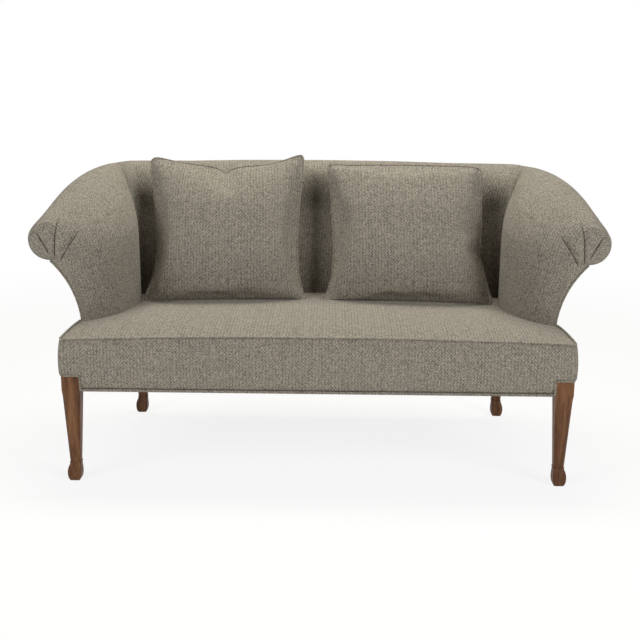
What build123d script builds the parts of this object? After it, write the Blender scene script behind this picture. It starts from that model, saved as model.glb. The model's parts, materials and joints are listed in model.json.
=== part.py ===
"""Rolled arm sofa: a two-seat settee with a tight seat, a tight back and two loose cushions.

Millimetres. +X is to the right of someone facing the sofa, +Y is the back, +Z is up.
The origin lies on the floor under the middle of the sofa. Depths are measured from the front face.
"""
import os
from collections import namedtuple
from math import atan2, cos, degrees, hypot, pi, radians, sin, sqrt

from build123d import *

os.makedirs("parts", exist_ok=True)

# Seat box
seat_front_width = 1382.0
seat_rear_width = 1228.0
seat_box_depth = 640.0
rear_corner_radius = 22.0
apron_bottom = 260.0
seat_edge_height = 404.0
seat_crown_height = 434.0
seat_side_fall = 9.0
seat_crown_depth = 300.0

# Arms and back
arm_setback = 158.0
arm_inset = 5.0
arm_thickness = 98.0
arm_nose_length = 190.0
arm_front_height = 706.0
arm_flare = 73.0
flare_drop = 12.0
flare_length = 160.0
roll_radius = 53.0
front_roll_radius = 57.0
back_height = 828.0
back_crown = 6.0
back_thickness = 148.0
back_overhang = 40.0
crease_depth = 565.0
crease_thickness = 60.0
crease_overhang = 22.0
crease_angle = 45.0
shoulder_drop = 76.0

# Cloth, wadding and welts
cover_thickness = 4.0
panel_thickness = 5.0
welt_radius = 3.0
arm_welt_radius = 2.4
cloth_fit = 0.3

# Seat frame
rail_thickness = 32.0
rail_height = 95.0
rail_bottom = 268.0
brace_height = 60.0
brace_spacing = 460.0
block_leg = 82.0
block_height = 52.0
dowel_radius = 5.0
dowel_length = 50.0
screw_radius = 2.5
screw_head_radius = 4.5
screw_head_height = 3.0
screw_length = 48.0

# Legs
leg_size = 48.0
leg_outset = 5.0
leg_shoulder_height = 300.0
leg_block_height = 40.0
leg_taper = 10.0
leg_chamfer = 5.0
leg_front_recess = 2.0
ankle_height = 50.0
ring_height = 3.0
ring_lip = 1.2
foot_flare = 7.0
foot_edge = 4.0
rear_leg_depth = 585.0

# Arm and back frame
post_setback = 34.0
post_thickness = 30.0
post_width = 24.0
post_relief = 3.0
arm_rail_size = 24.0
lower_rail_height = 46.0
lower_rail_thickness = 18.0
lower_rail_relief = 4.0
lower_rail_level = 440.0
back_post_width = 34.0
back_post_inset = 6.0
back_frame_thickness = 28.0
back_frame_depth = 582.0
back_frame_rake = 0.105
top_rail_height = 50.0
webbing_width = 50.0
webbing_thickness = 3.0
webbing_count = 7

# Springs
spring_count = 8
spring_pitch = 42.0
spring_width = 48.0
wire_radius = 1.8
clip_width = 10.0
clip_depth = 14.0
hessian_thickness = 2.0
dust_cover_thickness = 1.0

# Loose cushions
cushion_width = 474.0
cushion_height = 418.0
cushion_thickness = 142.0
cushion_draw_in = 20.0
cushion_lean = 18.0
cushion_offset = 272.0
cushion_foot_depth = 404.0
cushion_welt_radius = 3.2
cushion_cloth = 2.5

# Worked out from the sizes above
overall_depth = seat_box_depth + back_overhang + roll_radius
side_taper = (seat_front_width - seat_rear_width) / 2 / seat_box_depth
rail_top = rail_bottom + rail_height
wire_level = rail_top + wire_radius
hessian_bottom = rail_top + 2 * wire_radius + 2.0
pad_bottom = hessian_bottom + hessian_thickness + cloth_fit
front_roll_level = arm_front_height - front_roll_radius
back_roll_level = back_height - back_crown - roll_radius
border_bottom = apron_bottom + 2 * welt_radius + cloth_fit / 3
rail_inset = 2 * welt_radius + cloth_fit
leg_half = leg_size / 2


def across(depth):
    """Y of a point this far behind the front face."""
    return depth - overall_depth / 2


def side_line(depth):
    """Half width of the seat box at this depth."""
    return seat_front_width / 2 - side_taper * depth


def arm_line(depth):
    """X of the outside arm's face at this depth, below the flare."""
    return side_line(depth) - arm_inset


def between(low, high, share):
    return low + (high - low) * share


def export(part, name):
    part.label = name
    export_step(part, f"parts/{name}.step")


def left_of(part):
    """The left-hand twin of a right-hand piece."""
    with BuildPart() as twin:
        add(part)
        mirror(about=Plane.YZ, mode=Mode.REPLACE)
    return twin.part


# Stations: upright slices across the arm and back, from the arm's front edge round to the middle of the back.
# Each one has its base point on the outside face, the way it faces in plan, its thickness at the seat,
# how far its inside face leans out at half and at full height, the lean of its outside face, and its roll.
Station = namedtuple("Station", "x depth angle thick lean_mid lean_top lean_out roll_out roll_level roll_r")


def arm_station(depth):
    reach = min(1.0, max(0.0, (depth - arm_setback) / arm_nose_length))
    wrap = sqrt(1 - (1 - reach) ** 2)
    turn_start = arm_setback + arm_nose_length
    turn = max(0.0, (depth - turn_start) / (crease_depth - turn_start))
    run = (depth - arm_setback) / (crease_depth - arm_setback)
    return Station(
        x=arm_line(depth),
        depth=depth,
        angle=crease_angle * turn**1.5,
        thick=between(arm_thickness * wrap, crease_thickness, turn**2),
        lean_mid=between(between(arm_flare * 0.2, -arm_flare * 0.12, wrap), arm_flare * 0.16, turn),
        lean_top=between(between(arm_flare * 0.72, -arm_flare * 0.17, wrap), arm_flare * 0.4, turn),
        lean_out=between(-1.0, 3.0, turn),
        roll_out=between(arm_flare, crease_overhang, max(0.0, run) ** 2.5),
        roll_level=between(front_roll_level, back_roll_level, sin(pi / 2 * max(0.0, run) ** 1.15)),
        roll_r=between(front_roll_radius, roll_radius, run),
    )


def back_station(outer, inner, share, overhang, lift=0.0):
    """A slice of the back between two plan points; share runs from 0 at the crease to 1 in the straight run."""
    return Station(
        x=outer[0],
        depth=outer[1],
        angle=degrees(atan2(outer[1] - inner[1], outer[0] - inner[0])),
        thick=hypot(outer[0] - inner[0], outer[1] - inner[1]),
        lean_mid=between(arm_flare * 0.16, back_thickness * 0.29, share),
        lean_top=between(arm_flare * 0.4, back_thickness * 0.65, share),
        lean_out=back_overhang * overhang * 0.55,
        roll_out=back_overhang * overhang,
        roll_level=back_roll_level + back_crown * lift,
        roll_r=roll_radius,
    )


nose_turns = (13, 21, 32, 46, 62, 78, 92)
arm_depths = [arm_setback + arm_nose_length * (1 - cos(radians(turn))) for turn in nose_turns]
arm_depths += [between(arm_depths[-1], crease_depth, share) for share in (0.3, 0.55, 0.78, 1.0)]
arm_stations = [arm_station(depth) for depth in arm_depths]

crease = arm_stations[-1]
corner_x = arm_line(seat_box_depth) - rear_corner_radius
corner_depth = seat_box_depth - rear_corner_radius
corner_turn = 68.0
corner_point = (
    corner_x + rear_corner_radius * cos(radians(corner_turn)),
    corner_depth + rear_corner_radius * sin(radians(corner_turn)),
)
straight_start = corner_x - 7 * rear_corner_radius
inside_depth = seat_box_depth - back_thickness
crease_inside = (
    crease.x - crease.thick * cos(radians(crease_angle)),
    crease.depth - crease.thick * sin(radians(crease_angle)),
)


def inside_back(share):
    """Plan point on the inside back at seat level, from the crease to the start of the straight run."""
    return (
        between(crease_inside[0], straight_start, share),
        between(inside_depth, crease_inside[1], (1 - share) ** 2),
    )


def straight_back(share, lift):
    """A slice in the straight run of the back, square to it."""
    x = straight_start * share
    return back_station((x, seat_box_depth), (x, inside_depth), 1.0, 1.0, lift)


crown_station = straight_back(0.0, 1.0)
half_back = [
    crease._replace(roll_level=back_roll_level),
    back_station((arm_line(corner_depth), corner_depth), inside_back(0.1), 0.25, 0.5),
    back_station(corner_point, inside_back(0.22), 0.42, 0.52),
    back_station((corner_x - rear_corner_radius, seat_box_depth), inside_back(0.4), 0.62, 0.68),
    back_station((corner_x - 3.5 * rear_corner_radius, seat_box_depth), inside_back(0.66), 0.86, 0.88),
    straight_back(1.0, 0.0),
    straight_back(0.5, 0.75),
]


def station_plane(station, hand=1, shift=0.0):
    """The upright plane of a slice; hand is 1 for the right side and -1 for the left."""
    out_x = cos(radians(station.angle)) * hand
    out_y = sin(radians(station.angle))
    base = Vector(station.x * hand, across(station.depth), 0)
    facing = Vector(out_y, -out_x, 0)
    ahead = Vector(out_y * hand, -out_x * hand, 0)
    return Plane(origin=base + ahead * shift, x_dir=(out_x, out_y, 0), z_dir=facing)


def on_roll(station, radius, turn):
    return (
        station.roll_out + radius * cos(radians(turn)),
        station.roll_level + radius * sin(radians(turn)),
    )


def inside_face(station, inset):
    """Points up the inside face and over the roll, drawn in by the inset."""
    radius = station.roll_r - inset
    shoulder = station.roll_level - shoulder_drop
    foot = (-station.thick + inset, pad_bottom)
    middle = (-station.thick + station.lean_mid + inset, between(pad_bottom, shoulder, 0.5))
    top = (-station.thick + station.lean_top + inset, shoulder)
    crest = on_roll(station, radius, 100)
    haunch = (between(top[0], crest[0], 0.32), between(top[1], crest[1], 0.7))
    return foot, middle, top, haunch, crest, radius


def outside_face(station, inset):
    """Points down the outside face under the roll, drawn in by the inset."""
    brow = station.roll_level - station.roll_r - flare_drop + 1.0
    high = (0.88 * station.roll_out - 0.75 * inset, brow + 0.6 * inset)
    low = (station.lean_out - inset, brow - flare_length)
    bend = (between(low[0], high[0], 0.34), between(low[1], high[1], 0.485))
    return high, bend, low


def pad_outline(station, inset, outer_inset):
    """Closed outline of a slice through the stuffing."""
    foot, middle, top, haunch, crest, radius = inside_face(station, inset)
    high, bend, low = outside_face(station, outer_inset)
    under = on_roll(station, radius, -80)
    ThreePointArc(foot, middle, top)
    ThreePointArc(top, haunch, crest)
    ThreePointArc(crest, on_roll(station, radius, 50), on_roll(station, radius, 0))
    ThreePointArc(on_roll(station, radius, 0), on_roll(station, radius, -40), under)
    Line(under, high)
    ThreePointArc(high, bend, low)
    Polyline(low, (-outer_inset, pad_bottom), foot)


def hollow_outline(station, inset, drop):
    """Closed outline of what is taken out of a cover: open below and on the outside."""
    foot, middle, top, haunch, crest, radius = inside_face(station, inset)
    under = on_roll(station, radius, -80)
    ThreePointArc(foot, middle, top)
    ThreePointArc(top, haunch, crest)
    ThreePointArc(crest, on_roll(station, radius, 50), on_roll(station, radius, 0))
    ThreePointArc(on_roll(station, radius, 0), on_roll(station, radius, -40), under)
    Polyline(under, (under[0] + 2, pad_bottom - drop), (foot[0], pad_bottom - drop), foot)


def panel_outline(station):
    """Closed outline of a slice through the outside panel."""
    high, bend, low = outside_face(station, 0)
    high_in, bend_in, low_in = outside_face(station, panel_thickness)
    ThreePointArc(high, bend, low)
    Polyline(low, (0, pad_bottom), (0, border_bottom), (-panel_thickness, border_bottom))
    Polyline((-panel_thickness, border_bottom), (-panel_thickness, pad_bottom), low_in)
    ThreePointArc(low_in, bend_in, high_in)
    Line(high_in, high)


def slices(kind, first_shift=0.0, last_shift=0.0):
    """Planes and stations of the right arm or of the whole back, in order."""
    if kind == "arm":
        row = [(station, 1) for station in arm_stations]
    else:
        row = [(station, 1) for station in half_back] + [(crown_station, 1)]
        row += [(station, -1) for station in reversed(half_back)]
    placed = []
    for index, (station, hand) in enumerate(row):
        shift = first_shift if index == 0 else last_shift if index == len(row) - 1 else 0.0
        placed.append((station_plane(station, hand, shift), station))
    return placed


def stuffed(kind, inset, outer_inset, gap=cloth_fit):
    """Solid of the arm or back with its inside face drawn in by the inset."""
    shifts = (max(0.0, -inset), gap) if kind == "arm" else (-gap, -gap)
    skipped = 1 if kind == "arm" and inset > 0 else 0
    with BuildPart() as body:
        for plane, station in slices(kind, *shifts)[skipped:]:
            with BuildSketch(plane):
                with BuildLine():
                    pad_outline(station, inset, outer_inset)
                make_face()
        loft(ruled=True)
    return body.part


def hollow(kind, inset, gap=1.0):
    """What is taken out of the arm or back so that a cover of this thickness stays."""
    shifts = (-inset, -gap) if kind == "arm" else (gap, gap)
    with BuildPart() as body:
        for plane, station in slices(kind, *shifts):
            with BuildSketch(plane):
                with BuildLine():
                    hollow_outline(station, inset, cover_thickness)
                make_face()
        loft(ruled=True)
    return body.part


def outside(kind, gap=cloth_fit):
    """The outside panel of the arm or back."""
    shifts = (-2 * arm_welt_radius - cloth_fit, gap) if kind == "arm" else (-gap, -gap)
    with BuildPart() as body:
        for plane, station in slices(kind, *shifts):
            with BuildSketch(plane):
                with BuildLine():
                    panel_outline(station)
                make_face()
        loft(ruled=True)
    return body.part


# Seat frame
front_rail_depth = rail_inset
rear_rail_depth = rear_leg_depth + leg_size - panel_thickness - rail_thickness
front_leg_x = side_line(0) - leg_outset - leg_half
rear_leg_x = arm_line(rear_leg_depth + leg_half) - rail_inset - leg_half + leg_outset / 2
front_leg_depth = leg_front_recess


def rail_face(depth, inward=0.0):
    """X of the side rail's outer face, or of a line this far inside it."""
    return arm_line(depth) - rail_inset - inward


def upright(points, bottom, height, mode=Mode.ADD):
    """Prism over a plan outline given as (x, depth) corners."""
    with BuildSketch(Plane.XY.offset(bottom)) as plan:
        with BuildLine():
            Polyline(*[(x, across(depth)) for x, depth in points], close=True)
        make_face()
    extrude(plan.sketch, amount=height, mode=mode)


def cylinder_along_x(x_from, length, depth, level, radius, mode=Mode.ADD):
    with BuildSketch(Plane.YZ.offset(x_from)) as end:
        with Locations((across(depth), level)):
            Circle(radius)
    extrude(end.sketch, amount=length, mode=mode)


def cylinder_along_depth(x, depth_from, length, level, radius, mode=Mode.ADD):
    with BuildSketch(Plane((x, across(depth_from), level), x_dir=(1, 0, 0), z_dir=(0, 1, 0))) as end:
        Circle(radius)
    extrude(end.sketch, amount=length, mode=mode)


front_rail_middle = front_rail_depth + rail_thickness / 2
rear_rail_middle = rear_rail_depth + rail_thickness / 2
front_leg_inner = front_leg_x - leg_half
rear_leg_inner = rear_leg_x - leg_half
front_leg_back = front_leg_depth + leg_size
cross_dowel_levels = (rail_bottom + rail_height * 0.25, rail_bottom + rail_height * 0.62)
side_dowel_levels = (rail_bottom + rail_height * 0.42, rail_bottom + rail_height * 0.8)


def side_dowel_x(depth):
    return rail_face(depth, rail_thickness / 2)


def dowel_set(radius, mode=Mode.ADD):
    """All the dowels of the seat frame."""
    for level in cross_dowel_levels:
        for hand in (-1, 1):
            for inner, depth in ((front_leg_inner, front_rail_middle), (rear_leg_inner, rear_rail_middle)):
                cylinder_along_x(inner * hand - dowel_length / 2, dowel_length, depth, level, radius, mode)
    for level in side_dowel_levels:
        for hand in (-1, 1):
            for depth in (front_leg_back, rear_leg_depth):
                x = side_dowel_x(depth) * hand
                cylinder_along_depth(x, depth - dowel_length / 2, dowel_length, level, radius, mode)


block_levels = (rail_bottom + rail_height * 0.2, rail_bottom + rail_height * 0.2 + block_height)
screw_levels = [between(*block_levels, share) for share in (0.28, 0.72)]
front_block_face = front_rail_depth + rail_thickness
front_screw_x = front_leg_inner - block_leg * 0.55
rear_screw_x = rear_leg_inner - block_leg * 0.55
screw_seat = screw_length * 0.45


def screw_set(shank, head, spare, mode=Mode.ADD):
    """Screws that hold the corner blocks to the front and rear rails."""
    for level in screw_levels:
        for hand in (-1, 1):
            x = front_screw_x * hand
            tip = front_block_face + screw_seat - screw_length
            cylinder_along_depth(x, tip, screw_length, level, shank, mode)
            cylinder_along_depth(x, tip + screw_length, screw_head_height + spare, level, head, mode)
            x = rear_screw_x * hand
            tip = rear_rail_depth - screw_seat
            cylinder_along_depth(x, tip, screw_length, level, shank, mode)
            cylinder_along_depth(x, tip - screw_head_height - spare, screw_head_height + spare, level, head, mode)


with BuildPart() as dowels:
    dowel_set(dowel_radius)
export(dowels.part, "dowels")

with BuildPart() as corner_screws:
    screw_set(screw_radius, screw_head_radius, 0.0)
export(corner_screws.part, "corner_block_screws")

with BuildPart() as front_rail:
    front_end = front_leg_inner
    front_back = front_rail_depth + rail_thickness
    upright(
        [(-front_end, front_rail_depth), (front_end, front_rail_depth), (front_end, front_back), (-front_end, front_back)],
        rail_bottom,
        rail_height,
    )
    dowel_set(dowel_radius, Mode.SUBTRACT)
    screw_set(screw_radius, screw_head_radius, 0.0, Mode.SUBTRACT)
export(front_rail.part, "front_rail")

with BuildPart() as rear_rail:
    rear_end = rear_leg_inner
    rear_back = rear_rail_depth + rail_thickness
    upright(
        [(-rear_end, rear_rail_depth), (rear_end, rear_rail_depth), (rear_end, rear_back), (-rear_end, rear_back)],
        rail_bottom,
        rail_height,
    )
    dowel_set(dowel_radius, Mode.SUBTRACT)
    screw_set(screw_radius, screw_head_radius, 0.0, Mode.SUBTRACT)
export(rear_rail.part, "rear_rail")

with BuildPart() as right_side_rail:
    upright(
        [
            (rail_face(front_leg_back), front_leg_back),
            (rail_face(rear_leg_depth), rear_leg_depth),
            (rail_face(rear_leg_depth, rail_thickness), rear_leg_depth),
            (rail_face(front_leg_back, rail_thickness), front_leg_back),
        ],
        rail_bottom,
        rail_height,
    )
    dowel_set(dowel_radius, Mode.SUBTRACT)
export(right_side_rail.part, "right_side_rail")
export(left_of(right_side_rail.part), "left_side_rail")

with BuildPart() as seat_braces:
    for hand in (-1, 1):
        brace_x = hand * brace_spacing / 2
        brace_front = front_rail_depth + rail_thickness
        upright(
            [
                (brace_x - rail_thickness / 2, brace_front),
                (brace_x + rail_thickness / 2, brace_front),
                (brace_x + rail_thickness / 2, rear_rail_depth),
                (brace_x - rail_thickness / 2, rear_rail_depth),
            ],
            rail_bottom,
            brace_height,
        )
export(seat_braces.part, "seat_braces")

with BuildPart() as corner_blocks:
    for hand in (-1, 1):
        front_reach = front_leg_back + block_leg
        upright(
            [
                (hand * (front_leg_inner - block_leg), front_block_face),
                (hand * front_leg_inner, front_block_face),
                (hand * front_leg_inner, front_leg_back),
                (hand * rail_face(front_leg_back, rail_thickness), front_leg_back),
                (hand * rail_face(front_reach, rail_thickness), front_reach),
            ],
            block_levels[0],
            block_height,
        )
        rear_reach = rear_leg_depth - block_leg
        upright(
            [
                (hand * (rear_leg_inner - block_leg), rear_rail_depth),
                (hand * rear_leg_inner, rear_rail_depth),
                (hand * rear_leg_inner, rear_leg_depth),
                (hand * rail_face(rear_leg_depth, rail_thickness), rear_leg_depth),
                (hand * rail_face(rear_reach, rail_thickness), rear_reach),
            ],
            block_levels[0],
            block_height,
        )
    screw_set(screw_radius, screw_head_radius, block_leg, Mode.SUBTRACT)
export(corner_blocks.part, "corner_blocks")


# Legs
def leg_slice(level, low_x, high_x, low_depth, high_depth, corner):
    """Rounded square of a leg at one level; x runs outward and depth runs back."""
    with BuildSketch(Plane.XY.offset(level)) as cut:
        with Locations(((low_x + high_x) / 2, across((low_depth + high_depth) / 2))):
            RectangleRounded(high_x - low_x, high_depth - low_depth, corner)
    return cut.sketch


def leg_chamfered(level, x, depth, half, cut):
    """Square of a leg at one level with its four corners cut off."""
    with BuildSketch(Plane.XY.offset(level)) as section:
        with Locations((x, across(depth))):
            Rectangle(2 * half, 2 * half)
        chamfer(section.vertices(), cut)
    return section.sketch


# Down the hoof foot: share of the ankle's height, share of the flare, draw-in on the other two sides
foot_steps = (
    (1.0, 0.0, 0.0),
    (0.8, 0.6, -0.6),
    (0.55, 1.0, -1.4),
    (0.3, 0.95, -1.2),
    (0.1, 0.65, 1.0),
    (0.0, 0.25, 4.0),
)


def right_leg(x, front_depth, post_side, post_front, post_back):
    """A right-hand leg: post, square block, chamfered taper, ring and hoof foot."""
    depth = front_depth + leg_half
    block_bottom = leg_shoulder_height - leg_block_height
    ankle = leg_half - leg_taper
    ring_top = ankle_height + ring_height
    with BuildPart() as leg:
        upright(
            [
                (x - leg_half, post_front),
                (x + leg_half - post_side, post_front),
                (x + leg_half - post_side, post_back),
                (x - leg_half, post_back),
            ],
            leg_shoulder_height,
            rail_top - leg_shoulder_height,
        )
        with BuildSketch(Plane.XY.offset(block_bottom)):
            with Locations((x, across(depth))):
                Rectangle(leg_size, leg_size)
        extrude(amount=leg_block_height)
        taper = [
            leg_chamfered(block_bottom, x, depth, leg_half, 0.6),
            leg_chamfered(block_bottom - 3 * leg_chamfer, x, depth, leg_half - 0.07 * leg_taper, leg_chamfer),
            leg_chamfered(ring_top, x, depth, ankle, leg_chamfer),
        ]
        loft(taper, ruled=True)
        lip = ankle + ring_lip
        ring = leg_slice(ankle_height, x - lip, x + lip, depth - lip, depth + lip, leg_chamfer)
        extrude(ring, amount=ring_height)
        foot = []
        for share, flare, draw in foot_steps:
            spread = foot_flare * flare
            low = (x - ankle + draw, x + ankle + spread)
            high = (depth - ankle - spread, depth + ankle - draw)
            foot.append(leg_slice(ankle_height * share, *low, *high, foot_edge))
        loft(foot)
        dowel_set(dowel_radius, Mode.SUBTRACT)
    return leg.part


front_post_side = leg_half + front_leg_x - rail_face(front_leg_back)
front_post_front = 2 * welt_radius + cloth_fit
right_front_leg = right_leg(front_leg_x, front_leg_depth, front_post_side, front_post_front, front_leg_back)
export(right_front_leg, "right_front_leg")
export(left_of(right_front_leg), "left_front_leg")
rear_post_side = leg_half + rear_leg_x - rail_face(rear_leg_depth + leg_size) + 2 * panel_thickness
rear_post_back = rear_leg_depth + leg_size - 2 * panel_thickness
right_rear_leg = right_leg(rear_leg_x, rear_leg_depth, rear_post_side, rear_leg_depth, rear_post_back)
export(right_rear_leg, "right_rear_leg")
export(left_of(right_rear_leg), "left_rear_leg")


# Springs, their clips and the hessian over them
spring_reach = rail_face(rear_leg_depth + leg_size) - back_post_inset - back_post_width - spring_width
spring_gap = 2 * spring_reach / (spring_count - 1)
spring_places = [(index - (spring_count - 1) / 2) * spring_gap for index in range(spring_count)]
spring_runs = 2 * round((rear_rail_middle - front_rail_middle) / spring_pitch / 2) + 1
run_pitch = (rear_rail_middle - front_rail_middle) / (spring_runs - 1)

with BuildPart() as springs:
    with BuildLine() as spring_path:
        bends = []
        for run in range(spring_runs):
            start = -spring_width / 2 if run % 2 == 0 else spring_width / 2
            bends.append((start, across(front_rail_middle + run * run_pitch), wire_level))
            bends.append((-start, across(front_rail_middle + run * run_pitch), wire_level))
        FilletPolyline(*bends, radius=run_pitch * 0.47)
    with BuildSketch(Plane(spring_path.line @ 0, z_dir=spring_path.line % 0)):
        Circle(wire_radius)
    sweep()
    one_spring = springs.part
    with Locations(*[(place - spring_places[0], 0, 0) for place in spring_places]):
        add(one_spring)
    with Locations((spring_places[0], 0, 0)):
        add(springs.part, mode=Mode.REPLACE)
export(springs.part, "seat_springs")

with BuildPart() as spring_clips:
    for place in spring_places:
        for depth in (front_rail_middle, rear_rail_middle):
            upright(
                [
                    (place - clip_width / 2, depth - clip_depth / 2),
                    (place + clip_width / 2, depth - clip_depth / 2),
                    (place + clip_width / 2, depth + clip_depth / 2),
                    (place - clip_width / 2, depth + clip_depth / 2),
                ],
                rail_top,
                2 * wire_radius + 1.0,
            )
            with BuildSketch(Plane.YZ.offset(place - clip_width)):
                groove = wire_radius + cloth_fit / 2
                with Locations((across(depth), wire_level)):
                    Circle(groove)
                with Locations((across(depth), wire_level - wire_radius / 2)):
                    Rectangle(2 * groove, wire_radius)
            extrude(amount=2 * clip_width, mode=Mode.SUBTRACT)
export(spring_clips.part, "spring_clips")

hessian_front = front_rail_depth + rail_thickness / 4
hessian_back = back_frame_depth - webbing_thickness - 2.0
hessian_inset = rail_thickness - 2.0
with BuildPart() as seat_hessian:
    upright(
        [
            (-rail_face(hessian_front, hessian_inset), hessian_front),
            (rail_face(hessian_front, hessian_inset), hessian_front),
            (rail_face(hessian_back, hessian_inset), hessian_back),
            (-rail_face(hessian_back, hessian_inset), hessian_back),
        ],
        hessian_bottom,
        hessian_thickness,
    )
export(seat_hessian.part, "seat_hessian")


# Arm frame
post_front = arm_setback + post_setback
post_back = post_front + post_thickness
post_station = arm_station(post_back)


def arm_post_solid(grow=0.0):
    """Right arm post: upright below, then curving out into the roll."""
    base = arm_line(post_back)
    head, bend, knee = outside_face(post_station, rail_inset + post_relief - grow)
    top = post_station.roll_level + 0.3 * roll_radius + grow
    side = -rail_inset - post_width - grow
    inner_head = head[0] - 1.5 * post_width - 2 * grow
    inner_level = head[1] + 0.5 * roll_radius
    with BuildPart() as post:
        with BuildSketch(Plane.XZ.offset(-across(post_front - grow))):
            with BuildLine():
                Polyline((base - rail_inset - post_relief + grow, rail_top), (base + knee[0], knee[1]))
                ThreePointArc(
                    (base + knee[0], knee[1]), (base + bend[0], bend[1]), (base + head[0], head[1])
                )
                Polyline((base + head[0], head[1]), (base + head[0], top), (base + inner_head, top))
                Line((base + inner_head, top), (base + inner_head, inner_level))
                ThreePointArc(
                    (base + inner_head, inner_level),
                    (base + between(side, inner_head, 0.25), between(knee[1], inner_level, 0.65)),
                    (base + side, knee[1]),
                )
                Polyline(
                    (base + side, knee[1]), (base + side, rail_top), (base - rail_inset - post_relief + grow, rail_top)
                )
            make_face()
        extrude(amount=-(post_thickness + 2 * grow))
    return post.part


def bar_slice(x, depth, level, grow):
    with BuildSketch(Plane.XZ.offset(-across(depth))) as end:
        with Locations((x, level)):
            Rectangle(arm_rail_size + 2 * grow, arm_rail_size + 2 * grow)
    return end.sketch


back_post_outer = rail_face(rear_leg_depth + leg_size) - back_post_inset
back_post_inner = back_post_outer - back_post_width
back_post_middle = (back_post_outer + back_post_inner) / 2


def frame_front(level):
    """Depth of the raked back frame's front face at this level."""
    return back_frame_depth + back_frame_rake * (level - rail_top)


rail_stations = [arm_station(between(post_back, crease_depth, share)) for share in (0.0, 0.38, 0.72)]
arm_rail_end_level = back_roll_level - 34.0


def arm_top_rail_solid(grow=0.0):
    """Right arm top rail: a shaped bar from the arm post up to the back post."""
    ends = []
    for station in rail_stations:
        out_x = cos(radians(station.angle))
        bar_x = station.x + (station.roll_out - arm_rail_size * 0.4) * out_x
        ends.append(bar_slice(bar_x, station.depth, station.roll_level - 6.0, grow))
    end_depth = frame_front(arm_rail_end_level + arm_rail_size)
    ends.append(bar_slice(back_post_middle + arm_rail_size / 4, end_depth, arm_rail_end_level, grow))
    with BuildPart() as bar:
        loft(ends)
    return bar.part


def leaning_board(x_from, x_to, level_from, level_to, grow=0.0, mode=Mode.ADD):
    """A board in the raked plane of the back frame."""
    with BuildSketch(Plane.YZ.offset(x_from - grow)) as end:
        with BuildLine():
            bottom = level_from - grow
            top = level_to + grow
            thick = back_frame_thickness
            Polyline(
                (across(frame_front(bottom) - grow), bottom),
                (across(frame_front(bottom) + thick + grow), bottom),
                (across(frame_front(top) + thick + grow), top),
                (across(frame_front(top) - grow), top),
                close=True,
            )
        make_face()
    extrude(end.sketch, amount=x_to - x_from + 2 * grow, mode=mode)


top_rail_top = back_roll_level - 10.0
top_rail_bottom = top_rail_top - top_rail_height
back_post_top = back_roll_level + 8.0

right_arm_post = arm_post_solid()
export(right_arm_post, "right_arm_post")
export(left_of(right_arm_post), "left_arm_post")

with BuildPart() as right_back_post:
    leaning_board(back_post_inner, back_post_outer, rail_top, back_post_top)
export(right_back_post.part, "right_back_post")
export(left_of(right_back_post.part), "left_back_post")

with BuildPart() as right_arm_top_rail:
    add(arm_top_rail_solid())
    add(right_back_post.part, mode=Mode.SUBTRACT)
export(right_arm_top_rail.part, "right_arm_top_rail")
export(left_of(right_arm_top_rail.part), "left_arm_top_rail")

lower_rail_top = lower_rail_level + lower_rail_height


def arm_lower_rail_solid(grow=0.0):
    """Right arm lower rail: a straight board from the arm post to the back post."""
    far_end = frame_front(lower_rail_top)
    inner = lower_rail_relief + lower_rail_thickness
    with BuildPart() as board:
        upright(
            [
                (rail_face(post_back, inner + grow), post_back),
                (rail_face(post_back, lower_rail_relief - grow), post_back),
                (rail_face(far_end, lower_rail_relief - grow), far_end),
                (rail_face(far_end, inner + grow), far_end),
            ],
            lower_rail_level - grow,
            lower_rail_height + 2 * grow,
        )
    return board.part


with BuildPart() as right_arm_lower_rail:
    add(arm_lower_rail_solid())
    add(right_back_post.part, mode=Mode.SUBTRACT)
export(right_arm_lower_rail.part, "right_arm_lower_rail")
export(left_of(right_arm_lower_rail.part), "left_arm_lower_rail")

with BuildPart() as back_top_rail:
    leaning_board(-back_post_inner, back_post_inner, top_rail_bottom, top_rail_top)
export(back_top_rail.part, "back_top_rail")

with BuildPart() as back_lower_rail:
    leaning_board(-back_post_inner, back_post_inner, lower_rail_level, lower_rail_top)
export(back_lower_rail.part, "back_lower_rail")

with BuildPart() as back_centre_post:
    leaning_board(-back_post_width / 2, back_post_width / 2, lower_rail_top, top_rail_bottom)
export(back_centre_post.part, "back_centre_post")

webbing_gap = 2 * back_post_inner / (webbing_count + 1)
with BuildPart() as back_webbing:
    for index in range(webbing_count):
        strap_x = (index - (webbing_count - 1) / 2) * webbing_gap
        with BuildSketch(Plane.YZ.offset(strap_x - webbing_width / 2)):
            with BuildLine():
                low = lower_rail_level + 6.0
                high = top_rail_top - 6.0
                Polyline(
                    (across(frame_front(low) - webbing_thickness), low),
                    (across(frame_front(low)), low),
                    (across(frame_front(high)), high),
                    (across(frame_front(high) - webbing_thickness), high),
                    close=True,
                )
            make_face()
        extrude(amount=webbing_width)
export(back_webbing.part, "back_webbing")


# Arm pads, covers and outside panels
stuffing_inset = cover_thickness + 3 * cloth_fit
stuffing_outer = panel_thickness + cloth_fit
arm_block = stuffed("arm", 0.0, stuffing_outer)
back_block = stuffed("back", 0.0, stuffing_outer)

with BuildPart() as right_arm_cover:
    add(arm_block)
    add(hollow("arm", cover_thickness), mode=Mode.SUBTRACT)
export(right_arm_cover.part, "right_arm_cover")
export(left_of(right_arm_cover.part), "left_arm_cover")

with BuildPart() as right_arm_pad:
    add(stuffed("arm", stuffing_inset, stuffing_outer))
    add(arm_post_solid(cloth_fit), mode=Mode.SUBTRACT)
    add(arm_top_rail_solid(cloth_fit), mode=Mode.SUBTRACT)
    add(arm_lower_rail_solid(cloth_fit), mode=Mode.SUBTRACT)
export(right_arm_pad.part, "right_arm_pad")
export(left_of(right_arm_pad.part), "left_arm_pad")

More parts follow.
